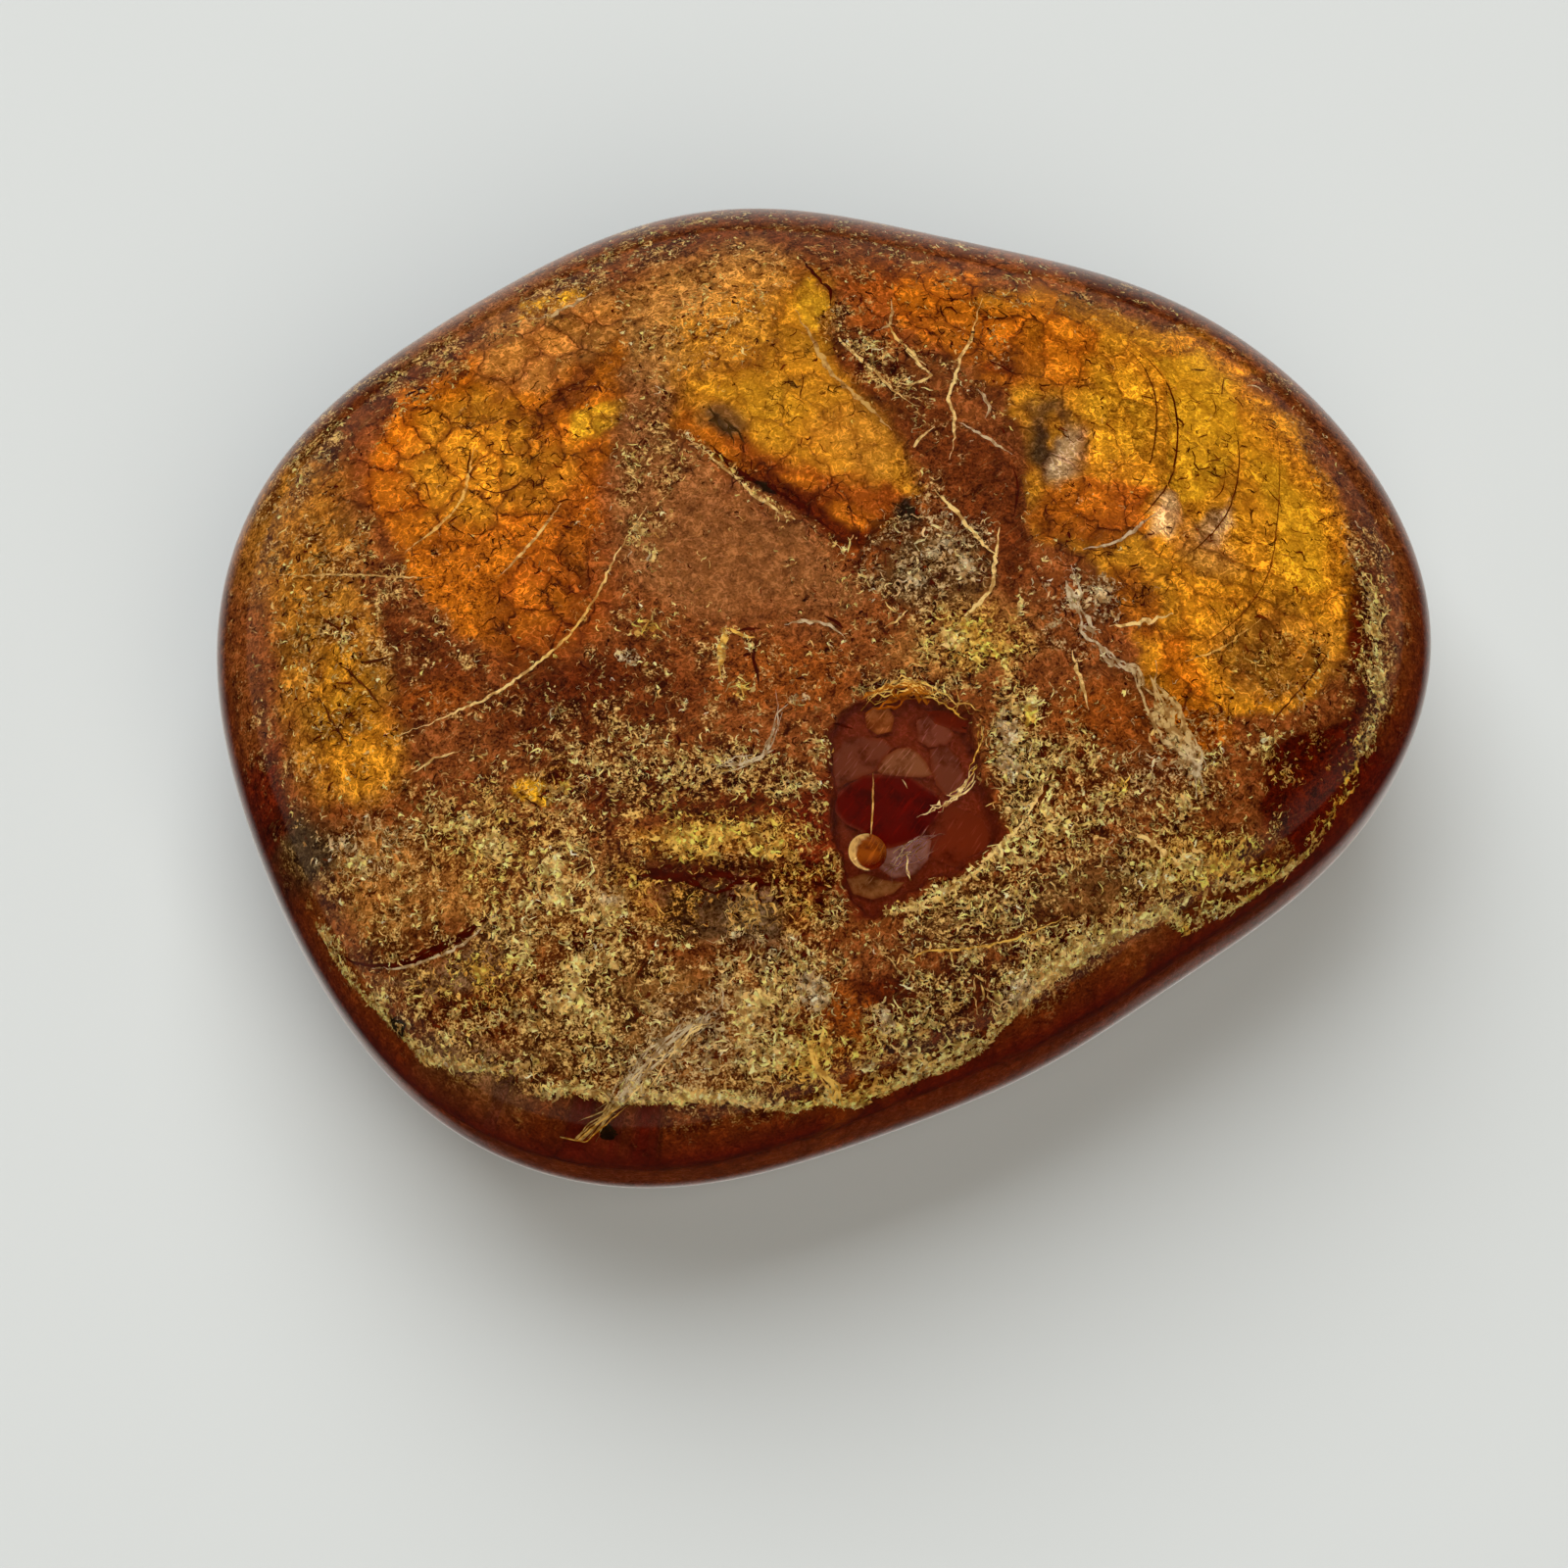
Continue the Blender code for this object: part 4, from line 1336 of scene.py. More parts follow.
DARK_STROKES = (
    # arcs in the right window
    Stroke(Tint.DEEP_BROWN, 0.09, ((1155, 345), (1180, 368), (1197, 392), (1204, 425), (1203, 455), (1196, 485), (1178, 512), (1150, 540)), 0.15),
    Stroke(Tint.DEEP_BROWN, 0.07, ((1146, 345), (1168, 368), (1181, 400), (1181, 440), (1172, 475), (1150, 508)), 0.15),
    Stroke(Tint.DEEP_BROWN, 0.07, ((1263, 425), (1268, 455), (1266, 483), (1256, 517), (1230, 550), (1205, 570)), 0.15),
    Stroke(Tint.BROWN, 0.05, ((1306, 430), (1310, 470), (1307, 530), (1297, 583), (1263, 630), (1203, 670)), 0.15),
    Stroke(Tint.DEEP_BROWN, 0.06, ((1235, 462), (1245, 478), (1253, 482), (1262, 476)), 0.3),
    Stroke(Tint.DEEP_BROWN, 0.06, ((1253, 482), (1250, 495), (1240, 505)), 0.3),
    Stroke(Tint.DEEP_BROWN, 0.05, ((1215, 395), (1222, 402), (1232, 404)), 0.3),
    Stroke(Tint.DEEP_BROWN, 0.05, ((1238, 398), (1244, 408), (1242, 418)), 0.3),
    Stroke(Tint.RED_BLACK, 0.12, ((1006, 364), (1018, 369), (1036, 377)), 0.3),
    Stroke(Tint.RED_BLACK, 0.1, ((1033, 471), (1039, 494), (1035, 524)), 0.3),
    Stroke(Tint.DEEP_BROWN, 0.08, ((1361, 661), (1340, 690), (1311, 722), (1290, 750)), 0.3),
    # the upper window
    Stroke(Tint.RED_BLACK, 0.18, ((815, 257), (830, 276), (845, 291), (848, 310)), 0.5),
    Stroke(Tint.RED_BLACK, 0.14, ((712, 440), (735, 462), (757, 483), (790, 500), (820, 522), (850, 541), (868, 556)), 0.9, 0.05, 14, 6.0),
    Stroke(Tint.CHARCOAL, 0.12, ((724, 412), (735, 420), (750, 432), (757, 441)), 0.9, 0.05, 5, 6.0),
    Stroke(Tint.BLACK, 0.2, ((766, 487), (778, 494), (790, 500)), 0.9, 0.1, 5, 4.0),
    Stroke(Tint.BLACK, 0.2, ((918, 505), (928, 515), (934, 530)), 0.9, 0.1, 6, 4.0),
    # the left window
    Stroke(Tint.DEEP_BROWN, 0.12, ((560, 408), (575, 398), (590, 392), (612, 388)), 0.7, 0.1, 5, 5.0),
    Stroke(Tint.RED_BLACK, 0.14, ((393, 376), (412, 381), (424, 386)), 0.4, 0.1, 3, 2.0),
    Stroke(Tint.DEEP_BROWN, 0.08, ((479, 448), (476, 478), (491, 486)), 0.3),
    Stroke(Tint.DEEP_BROWN, 0.07, ((480, 486), (500, 497), (520, 494), (538, 480)), 0.2),
    Stroke(Tint.DEEP_BROWN, 0.1, ((324, 628), (350, 643))),
    Stroke(Tint.DEEP_BROWN, 0.1, ((340, 672), (366, 695), (391, 723))),
    Stroke(Tint.DEEP_BROWN, 0.1, ((321, 704), (337, 736), (359, 765))),
    # the middle
    Stroke(Tint.RED_BLACK, 0.16, ((751, 643), (764, 640), (776, 640)), 0.3),
    Stroke(Tint.RED_BLACK, 0.16, ((780, 648), (771, 655), (769, 672), (773, 687), (774, 701)), 0.3),
    Stroke(Tint.RED_BLACK, 0.2, ((842, 627), (852, 632), (860, 639)), 0.3),
    Stroke(Tint.RED_BLACK, 0.16, ((851, 737), (860, 736), (871, 739)), 0.3),
    Stroke(Tint.RED_BLACK, 0.16, ((625, 884), (660, 890), (700, 893), (745, 896), (800, 902)), 0.9, 0.1, 12, 7.0),
    Stroke(Tint.RED_BLACK, 0.14, ((326, 967), (364, 984), (403, 984), (438, 972), (468, 957), (495, 935), (514, 915)), 0.4, 0.1, 5, 2.0),
    Stroke(Tint.DEEP_BROWN, 0.12, ((925, 955), (960, 962), (1006, 958), (1050, 950), (1090, 930)), 0.5, 0.1, 8, 5.0),
    Stroke(Tint.DEEP_BROWN, 0.12, ((1083, 733), (1081, 778), (1061, 822), (1022, 867), (983, 894)), 0.7, 0.1, 10, 5.0),
    # the lower edge
    Stroke(Tint.BLACK, 0.18, ((396, 1036), (402, 1048), (410, 1060)), 0.6, 0.15, 5, 3.0),
    Stroke(Tint.BLACK, 0.3, ((612, 1163), (620, 1164), (630, 1166)), 0.6, 0.1, 5, 3.0),
    Stroke(Tint.BLACK, 0.14, ((812, 1156), (814, 1166)), 0.4, 0.1, 3, 2.0),
    Stroke(Tint.CHARCOAL, 0.14, ((1178, 1008), (1180, 1020)), 0.4),
)

# Where the short dark marks of the gold windows lie.
CHIPS = (
    Oval(Tint.DEEP_BROWN, 490, 450, 120, 80, 20),
    Oval(Tint.RED_BLACK, 470, 560, 80, 80, 20),
    Oval(Tint.DEEP_BROWN, 560, 400, 70, 60, 40),
    Oval(Tint.DEEP_BROWN, 560, 620, 60, 50, 40),
    Oval(Tint.RED_BLACK, 575, 540, 50, 70, 0),
    Oval(Tint.DEEP_BROWN, 345, 700, 60, 110, 0),
    Oval(Tint.RED_BLACK, 800, 500, 110, 36, -28),
    Oval(Tint.DEEP_BROWN, 820, 400, 90, 60, -30),
    Oval(Tint.RED_BLACK, 980, 320, 90, 60, 0),
    Oval(Tint.DEEP_BROWN, 1120, 390, 90, 60, 0),
    Oval(Tint.DEEP_BROWN, 1250, 450, 80, 90, 0),
    Oval(Tint.RED_BLACK, 1110, 520, 70, 50, 0),
    Oval(Tint.RED_BLACK, 1170, 600, 50, 50, 0),
    Oval(Tint.DEEP_BROWN, 1300, 600, 90, 90, 0),
    Oval(Tint.DEEP_BROWN, 1230, 700, 60, 60, 0),
    Oval(Tint.RED_BLACK, 900, 340, 70, 70, 0),
)

# Lines along which the crust ends in crumbs.
CRUMB_LINES = (
    Stroke(Tint.CREAM, 15.0, ((326, 950), (345, 992), (370, 1022), (403, 1052), (426, 1078), (459, 1088), (500, 1092))),
    Stroke(Tint.CREAM, 12.0, ((553, 1118), (581, 1112), (631, 1124), (709, 1122), (744, 1124), (811, 1134), (844, 1126), (878, 1130))),
    Stroke(Tint.CREAM, 14.0, ((878, 1122), (930, 1104), (983, 1084), (1006, 1068), (1033, 1042), (1069, 1006), (1089, 990), (1133, 962),
        (1189, 934))),
    Stroke(Tint.STRAW, 14.0, ((1189, 928), (1208, 948), (1240, 932), (1283, 924), (1310, 902), (1333, 884))),
    Stroke(Tint.STRAW, 7.0, ((1377, 550), (1397, 603), (1408, 657), (1408, 723), (1394, 750), (1386, 800), (1362, 836), (1339, 866))),
    Stroke(Tint.STRAW, 8.0, ((1081, 760), (1074, 800), (1055, 835), (1022, 867), (983, 897), (950, 915), (910, 928))),
    Stroke(Tint.CREAM, 6.0, ((700, 440), (738, 470), (777, 504), (807, 522), (838, 536), (861, 560))),
)


class Face:
    """What is painted on the weathered layer, worked out at places on the crown."""

    def __init__(self, form: StoneForm, view: PhotoView, amber: Amber, skin: float) -> None:
        """Keep what the painting needs.

        Args:
            form: The stone's form.
            view: The camera.
            amber: The clear amber over the layer.
            skin: How deep the layer lies, in millimetres.
        """
        self.form = form
        self.view = view
        self.amber = amber
        self.skin = skin
        self.gain = 1.25

    def seen(self, shares: np.ndarray) -> np.ndarray:
        """The pixels where places on the crown show, made uneven so that painted edges are ragged.

        Args:
            shares: Places on the crown.

        Returns:
            Two numbers each.
        """
        points = self.form.crown(shares)
        pixels = self.view.pixels(points, self.form)
        for grain, reach in ((3.0, 11.0), (0.9, 6.0)):
            pixels[:, 0] += reach * drift(points, grain, 3, 3.1)
            pixels[:, 1] += reach * drift(points, grain, 3, 17.7)
        return pixels

    def tints(self, pixels: np.ndarray, under: Tint, ovals: tuple[Oval | Field, ...]) -> np.ndarray:
        """Paint tinted ovals over an even colour.

        Args:
            pixels: Where each place shows.
            under: The even colour.
            ovals: What is painted, in order.

        Returns:
            A linear colour for each place.
        """
        colour = np.tile(under.light(), (len(pixels), 1))
        for oval in ovals:
            cover = oval.cover(pixels)[:, None]
            colour += cover * (oval.what.light() - colour)
        return colour

    def levels(self, pixels: np.ndarray, under: float, ovals: tuple[Oval, ...]) -> np.ndarray:
        """Paint numbered ovals over an even level.

        Args:
            pixels: Where each place shows.
            under: The even level.
            ovals: What is painted, in order.

        Returns:
            A number for each place.
        """
        level = np.full(len(pixels), under)
        for oval in ovals:
            level += oval.cover(pixels) * (oval.what - level)
        return level

    def own_colour(self, seen: np.ndarray, depth: np.ndarray) -> np.ndarray:
        """The layer's own colour that shows as a seen colour through a depth of amber.

        Args:
            seen: Linear colours.
            depth: Depths in millimetres.

        Returns:
            Linear colours.
        """
        return np.clip(seen * self.gain / self.amber.passed(2.2 * depth), 0.0, 0.92)


@dataclass
class AmberBody:
    """The clear, polished body: the whole stone's outside, with its open bubble."""

    form: StoneForm
    divisions: int = 7
    pit: tuple[float, float] = (1.864, -12.832)
    pit_radius: float = 0.849
    pit_depth: float = 0.6

    def build(self) -> bpy.types.Object:
        """Build the body.

        Returns:
            The finished piece.
        """
        shape = bmesh.new()
        bmesh.ops.create_icosphere(shape, subdivisions=self.divisions, radius=1.0)
        ways = np.array([vertex.co for vertex in shape.verts])
        self.move(shape, self.form.towards(ways / np.linalg.norm(ways, axis=1, keepdims=True)))
        self.open_pit(shape)
        body = finished("amber_body", shape)
        body.data.materials.append(ClearAmberFinish().make())
        return body

    def move(self, shape: bmesh.types.BMesh, points: np.ndarray) -> None:
        """Put the vertices at points given in millimetres.

        Args:
            shape: The mesh.
            points: One point for each vertex.
        """
        for vertex, point in zip(shape.verts, points):
            vertex.co = point * MM

    def open_pit(self, shape: bmesh.types.BMesh) -> None:
        """Sink the round bubble into the crown.

        Args:
            shape: The body's mesh.
        """
        for reach in (1.9, 1.5):
            near = [edge for edge in shape.edges if all(self.from_pit(end) < reach for end in edge.verts)]
            bmesh.ops.subdivide_edges(shape, edges=near, cuts=1, use_grid_fill=True)
        bmesh.ops.triangulate(shape, faces=[face for face in shape.faces if len(face.verts) > 3])
        ball = (self.pit_radius**2 + self.pit_depth**2) / (2 * self.pit_depth)
        for vertex in shape.verts:
            gap = self.from_pit(vertex)
            if gap < self.pit_radius:
                drop = math.sqrt(ball**2 - gap**2) - (ball - self.pit_depth)
                vertex.co.z -= drop * MM

    def crown_over(self, x: float, y: float) -> float:
        """The height of the crown over a place in plan.

        Args:
            x: Millimetres along X.
            y: Millimetres along Y.

        Returns:
            The height in millimetres.
        """
        arm = np.array([x - self.form.middle[0], y - self.form.middle[1]])
        angle = np.arctan2(arm[1:], arm[:1])
        share = np.hypot(*arm) / self.form.reach(angle)
        shares = np.column_stack([share * np.cos(angle), share * np.sin(angle)])
        return float(self.form.crown(shares)[0, 2])

    def from_pit(self, vertex: bmesh.types.BMVert) -> float:
        """Distance from the bubble's middle in plan, for a place on the crown."""
        if vertex.co.z < 0.012:
            return 100.0
        return math.hypot(vertex.co.x / MM - self.pit[0], vertex.co.y / MM - self.pit[1])


def finished(name: str, shape: bmesh.types.BMesh) -> bpy.types.Object:
    """Turn a shape into a smooth piece in the scene.

    Args:
        name: The piece's name.
        shape: The shape, which is freed.

    Returns:
        The object.
    """
    mesh = bpy.data.meshes.new(name)
    shape.to_mesh(mesh)
    shape.free()
    mesh.shade_smooth()
    piece = bpy.data.objects.new(name, mesh)
    bpy.context.scene.collection.objects.link(piece)
    return piece


def paint(piece: bpy.types.Object, name: str, values: np.ndarray) -> None:
    """Write a number or a colour for each vertex.

    Args:
        piece: The object.
        name: The attribute's name.
        values: One number, or one linear colour, for each vertex.
    """
    if values.ndim == 1:
        layer = piece.data.attributes.new(name, "FLOAT", "POINT")
        layer.data.foreach_set("value", values.astype(np.float32))
        return
    layer = piece.data.attributes.new(name, "FLOAT_COLOR", "POINT")
    colours = np.column_stack([values, np.ones(len(values))])
    layer.data.foreach_set("color", colours.astype(np.float32).ravel())


@dataclass
class WeatheredLayer:
    """The layer under the clear skin: a shallow lens with an uneven, hollowed top."""

    face: Face
    divisions: int = 260
    rim: tuple[float, ...] = (0.93, 0.95, 0.97, 0.98, 0.98, 0.98, 0.97, 0.965, 0.96, 0.95, 0.93, 0.92, 0.925, 0.92, 0.92)
    rings: int = 22
    heart_depth: float = 2.2

    def build(self) -> bpy.types.Object:
        """Build the layer and paint it.

        Returns:
            The finished piece.
        """
        shape = bmesh.new()
        bmesh.ops.create_grid(shape, x_segments=self.divisions, y_segments=self.divisions, size=1.0)
        square = np.array([vertex.co[:2] for vertex in shape.verts])
        disc = square * np.sqrt(1 - square[:, ::-1] ** 2 / 2)
        shares = disc * self.rim_share(np.arctan2(disc[:, 1], disc[:, 0]))[:, None]
        shares *= (1 + 0.012 * drift(np.column_stack([shares * 8, shares[:, 0] * 0]), 1.0, 4, 5.5))[:, None]
        pixels = self.face.seen(shares)
        depth = self.depth(shares, pixels)
        form = self.face.form
        points = form.crown(shares) - form.crown_normals(shares) * depth[:, None]
        for vertex, point in zip(shape.verts, points):
            vertex.co = point * MM
        below, sunk = self.close(shape, shares)
        layer = finished("weathered_layer", shape)
        ground = self.face.own_colour(self.face.tints(pixels, GROUND, GROUND_OVALS), depth)
        # The heart's colours are a painted glow of the light seen through the clear flank.
        heart = self.face.own_colour(self.heart_glow_colour(below), sunk)
        skin = np.full(len(depth) + len(sunk), self.face.skin)
        pale = np.vstack([self.face.tints(pixels, Tint.CREAM, STRAW_OVALS), self.heart_glow_colour(below) * 1.6])
        paint(layer, "ground", np.vstack([ground, heart]))
        paint(layer, "pale", self.face.own_colour(pale, np.concatenate([skin[: len(depth)], sunk])))
        flecks = self.face.levels(pixels, FLECKS_EVERYWHERE, FLECK_OVALS)
        paint(layer, "flecks", np.concatenate([flecks, np.full(len(sunk), 0.15)]))
        crazing = self.face.levels(pixels, 0.15, CRAZING_OVALS)
        paint(layer, "crazing", np.concatenate([crazing, np.full(len(sunk), 0.3)]))
        calm = self.face.levels(pixels, 0.0, CALM_OVALS)
        paint(layer, "calm", np.concatenate([calm, np.full(len(sunk), 0.8)]))
        layer.data.materials.append(LayerFinish().make())
        return layer

    def heart_glow_colour(self, points: np.ndarray) -> np.ndarray:
        """Painted glow: the colour that shows through the clear flank, standing in for light seen through the amber.

        Args:
            points: Places below the rim.

        Returns:
            Linear colours.
        """
        level = 0.5 + 0.6 * drift(points, 4.0, 4, 13.0)[:, None]
        # Painted glow: brighter and more orange towards the bottom of the flank.
        low = smooth_step(11.0, 5.0, points[:, 2])[:, None]
        dark, glow = Tint.DEEP_RED.light(), Tint.RUST.light() * 1.2
        colour = dark + 0.5 * smooth_step(0.6, 1.0, level) * (glow - dark)
        return colour + 0.75 * low * (glow - colour)

    def rim_share(self, angle: np.ndarray) -> np.ndarray:
        """How far out the layer reaches at an angle, as a share of the girth's distance.

        Args:
            angle: Angles in radians.

        Returns:
            The shares.
        """
        around = np.append(self.rim, self.rim[0])
        return np.interp(angle % math.tau / math.tau * len(self.rim), np.arange(len(around)), around)

    def depth(self, shares: np.ndarray, pixels: np.ndarray) -> np.ndarray:
        """How deep the layer's top lies under the stone's surface.

        Args:
            shares: Places on the crown.
            pixels: Where they show.

        Returns:
            Depths in millimetres.
        """
        points = self.face.form.crown(shares)
        crumple = 0.06 * drift(points, 1.4, 5, 9.3) + 0.035 * drift(points, 0.5, 3, 2.2)
        hollow = self.face.levels(pixels, 0.0, HOLLOW_OVALS)
        return np.maximum(self.face.skin + hollow - crumple, 0.15)

    def close(self, shape: bmesh.types.BMesh, shares: np.ndarray) -> tuple[np.ndarray, np.ndarray]:
        """Carry the rim down inside the flank and close the underside.

        Args:
            shape: The layer's top.
            shares: Its places on the crown.

        Returns:
            The new vertices' places, in millimetres, and how deep they lie.
        """
        form = self.face.form
        middle = np.array([*form.middle, form.girth])
        shape.verts.index_update()
        edges = [edge for edge in shape.edges if edge.is_boundary]
        ends = {vertex: shares[vertex.index] for edge in edges for vertex in edge.verts}
        crown = form.crown(np.array(list(ends.values()))) - middle
        azimuth = np.arctan2(crown[:, 1], crown[:, 0])
        start = np.arctan2(np.hypot(crown[:, 0], crown[:, 1]), crown[:, 2])
        rim = {vertex: (around, down) for vertex, around, down in zip(ends, azimuth, start)}
        places, depths = [], []
        for ring in range(1, self.rings + 1):
            share = (ring / (self.rings + 1)) ** 1.5
            made = bmesh.ops.extrude_edge_only(shape, edges=edges)["geom"]
            edges = [item for item in made if isinstance(item, bmesh.types.BMEdge) and item.is_boundary]
            new = [item for item in made if isinstance(item, bmesh.types.BMVert)]
            around, down = np.array([self.nearest(vertex, rim) for vertex in new]).T
            polar = down + (math.pi - down) * share
            ways = np.column_stack([np.sin(polar) * np.cos(around), np.sin(polar) * np.sin(around), np.cos(polar)])
            surface = form.towards(ways)
            depth = self.face.skin + self.heart_depth * smooth_step(0.0, 0.18, share)
            depth = depth + 0.5 * drift(surface, 4.0, 3, 21.0) * smooth_step(0.02, 0.2, share)
            arm = surface - middle
            point = surface - arm * (depth / np.linalg.norm(arm, axis=1))[:, None]
            for vertex, place in zip(new, point):
                vertex.co = place * MM
            rim = dict(zip(new, zip(around, down)))
            places.append(point)
            depths.append(np.full(len(new), 1.0) * depth)
        bmesh.ops.holes_fill(shape, edges=edges, sides=0)
        bmesh.ops.recalc_face_normals(shape, faces=shape.faces)
        return np.vstack(places), np.concatenate(depths)

    def nearest(self, vertex: bmesh.types.BMVert, rim: dict) -> tuple[float, float]:
        """The angles of the rim vertex that a newly extruded vertex came from.

        Args:
            vertex: The new vertex.
            rim: The vertices before it, with their angles.

        Returns:
            The angle around the stone, and the angle down from the top.
        """
        for edge in vertex.link_edges:
            other = edge.other_vert(vertex)
            if other in rim:
                return rim[other]
        raise ValueError("an extruded vertex has lost its rim")


@dataclass
class Marks:
    """Ribbons of one kind of mark, laid along strokes just over the weathered layer."""

    face: Face
    name: str
    strokes: tuple[Stroke, ...]
    seed: int
    least_depth: float = 0.08

    def build(self) -> bpy.types.Object:
        """Build the ribbons as one piece.

        Returns:
            The finished piece.
        """
        draw = np.random.default_rng(self.seed)
        shape = bmesh.new()
        tints = []
        for stroke in self.strokes:
            for _ in range(stroke.strands):
                tints.append(self.ribbon(shape, stroke, draw))
        piece = finished(self.name, shape)
        paint(piece, "tint", np.vstack(tints))
        piece.data.materials.append(PaleFinish().make())
        return piece

    def ribbon(self, shape: bmesh.types.BMesh, stroke: Stroke, draw: np.random.Generator) -> np.ndarray:
        """Lay one ribbon.

        Args:
            shape: The mesh it goes into.
            stroke: Its stroke.
            draw: The random numbers.

        Returns:
            Its vertices' colours.
        """
        face, form = self.face, self.face.form
        line = stroke.path(4.0)
        if stroke.strands > 1:
            ends = np.sort(draw.integers(0, len(line) + 1, 2))
            line = line[ends[0] : max(ends[1], ends[0] + 4)] if ends[0] < len(line) - 4 else line[-6:]
            drifts = draw.normal(0, stroke.spread, (3, 2))
            shares = np.linspace(0, 2, len(line))
            line = line + np.column_stack([np.interp(shares, range(3), drifts[:, axis]) for axis in (0, 1)])
        line = line + draw.normal(0, 1.3 * stroke.ragged, line.shape)
        shares = face.view.shares(line, form)
        points = form.crown(shares)
        normals = form.crown_normals(shares)
        along = np.gradient(points, axis=0)
        side = np.cross(normals, along)
        side /= np.linalg.norm(side, axis=1, keepdims=True)
        pixels = face.view.pixels(points, form)
        depth = face.skin + np.minimum(face.levels(pixels, 0.0, HOLLOW_OVALS), 0.6) - stroke.lift
        depth = np.maximum(depth, self.least_depth)
        count = len(line)
        taper = np.minimum(np.arange(count), np.arange(count)[::-1]) / max(count * 0.25, 1)
        width = stroke.width * np.clip(taper, 0.25, 1) * np.exp(draw.normal(0, 0.35 * stroke.ragged, count))
        before = len(shape.verts)
        bmesh.ops.create_grid(shape, x_segments=count - 1, y_segments=2, size=1.0)
        shape.verts.ensure_lookup_table()
        new = list(shape.verts)[before:]
        for vertex in new:
            step = round((vertex.co.x + 1) / 2 * (count - 1))
            lane = vertex.co.y
            sink = depth[step] + 0.03 * lane * lane
            reach = lane * width[step] / 2 * math.exp(draw.normal(0, 0.3 * stroke.ragged))
            vertex.co = (points[step] + side[step] * reach - normals[step] * sink) * MM
        colour = face.own_colour(stroke.tint.light()[None, :], np.array([face.skin]))
        return np.tile(colour, (len(new), 1))


@dataclass
class WindowPlanes:
    """The flat planes that show in the deep red window: painted reflections off inner cracks on the paler ones, the
    window's own dark red on the rest.
    """

    face: Face
    fields: tuple[Field, ...] = PLANES_AND_REFLECTIONS

    def build(self) -> bpy.types.Object:
        """Build the planes as one piece.

        Returns:
            The finished piece.
        """
        face, form = self.face, self.face.form
        shape = bmesh.new()
        tints = []
        for field in self.fields:
            corners = np.array(field.corners, float)
            middle = corners.mean(axis=0)
            shares = face.view.shares(np.vstack([corners, middle]), form)
            points = form.crown(shares) - form.crown_normals(shares) * field.depth
            before = len(shape.verts)
            ends = [shape.verts.new(point * MM) for point in points[:-1]]
            plane = shape.faces.new(ends)
            plane.normal_update()
            if plane.normal.z < 0:
                plane.normal_flip()
            bmesh.ops.inset_individual(shape, faces=[plane], thickness=0.2 * MM)
            inner = set(plane.verts)
            base, own = Tint.SIENNA.light(), field.what.light()
            edge = [0.25, 1.0]
            colours = [base + edge[vertex in inner] * (own - base) for vertex in list(shape.verts)[before:]]
            bmesh.ops.triangulate(shape, faces=[plane])
            tints.append(face.own_colour(np.array(colours), np.full(len(colours), field.depth)))
        piece = finished("window_planes_and_reflections", shape)
        paint(piece, "tint", np.vstack(tints))
        piece.data.materials.append(PlaneFinish().make())
        return piece


@dataclass
class Bubble:
    """The open bubble's lining: an orange-red bowl with a pale crescent on its left."""

    face: Face
    body: AmberBody
    gap: float = 0.07
    steps: int = 48
    rings: int = 9

    def build(self) -> bpy.types.Object:
        """Build the lining.

        Returns:
            The finished piece.
        """
        body = self.body
        middle = body.crown_over(*body.pit)
        floor = middle - body.pit_depth - self.gap
        radius, depth = body.pit_radius + self.gap * 0.6, body.pit_depth - 0.02
        ball = (radius**2 + depth**2) / (2 * depth)
        shape = bmesh.new()
        last = shape.verts.new((*body.pit, floor))
        for ring in range(1, self.rings + 1):
            reach = radius * ring / self.rings
            rise = ball - math.sqrt(ball**2 - reach**2)
            new = shape.verts.new((body.pit[0] + reach, body.pit[1], floor + rise))
            shape.edges.new((last, new))
            last = new
        bmesh.ops.spin(
            shape,
            geom=shape.verts[:] + shape.edges[:],
            cent=(*body.pit, 0),
            axis=(0, 0, 1),
            angle=math.tau,
            steps=self.steps,
            use_merge=True,
        )
        bmesh.ops.remove_doubles(shape, verts=shape.verts, dist=1e-4)
        bmesh.ops.recalc_face_normals(shape, faces=shape.faces)
        places = np.array([vertex.co[:2] for vertex in shape.verts]) - body.pit
        for vertex in shape.verts:
            vertex.co.z += body.crown_over(vertex.co.x, vertex.co.y) - middle
        bmesh.ops.scale(shape, verts=shape.verts, vec=(MM, MM, MM))
        if sum(piece.normal.z for piece in shape.faces) < 0:
            bmesh.ops.reverse_faces(shape, faces=shape.faces)
        piece = finished("bubble_lining", shape)
        paint(piece, "tint", self.face.own_colour(self.colour(places / radius), np.full(len(places), 0.1)))
        piece.data.materials.append(PlaneFinish().make())
        return piece

    def colour(self, places: np.ndarray) -> np.ndarray:
        """Orange-red on the right, dark red below, and cream on the left rim.

        Args:
            places: Places from the middle, as shares of the radius.

        Returns:
            Linear colours.
        """
        across, back = places.T
        rust, wine, cream = Tint.RUST.light(), Tint.WINE.light(), Tint.CREAM.light()
        low = smooth_step(0.2, -0.7, back - 0.3 * across)[:, None]
        colour = rust * 1.1 + low * (wine - rust * 1.1)
        moon = smooth_step(0.9, 1.0, np.hypot(across - 0.32, back - 0.05))[:, None]
        return colour + moon * (across < 0)[:, None] * (cream - colour)


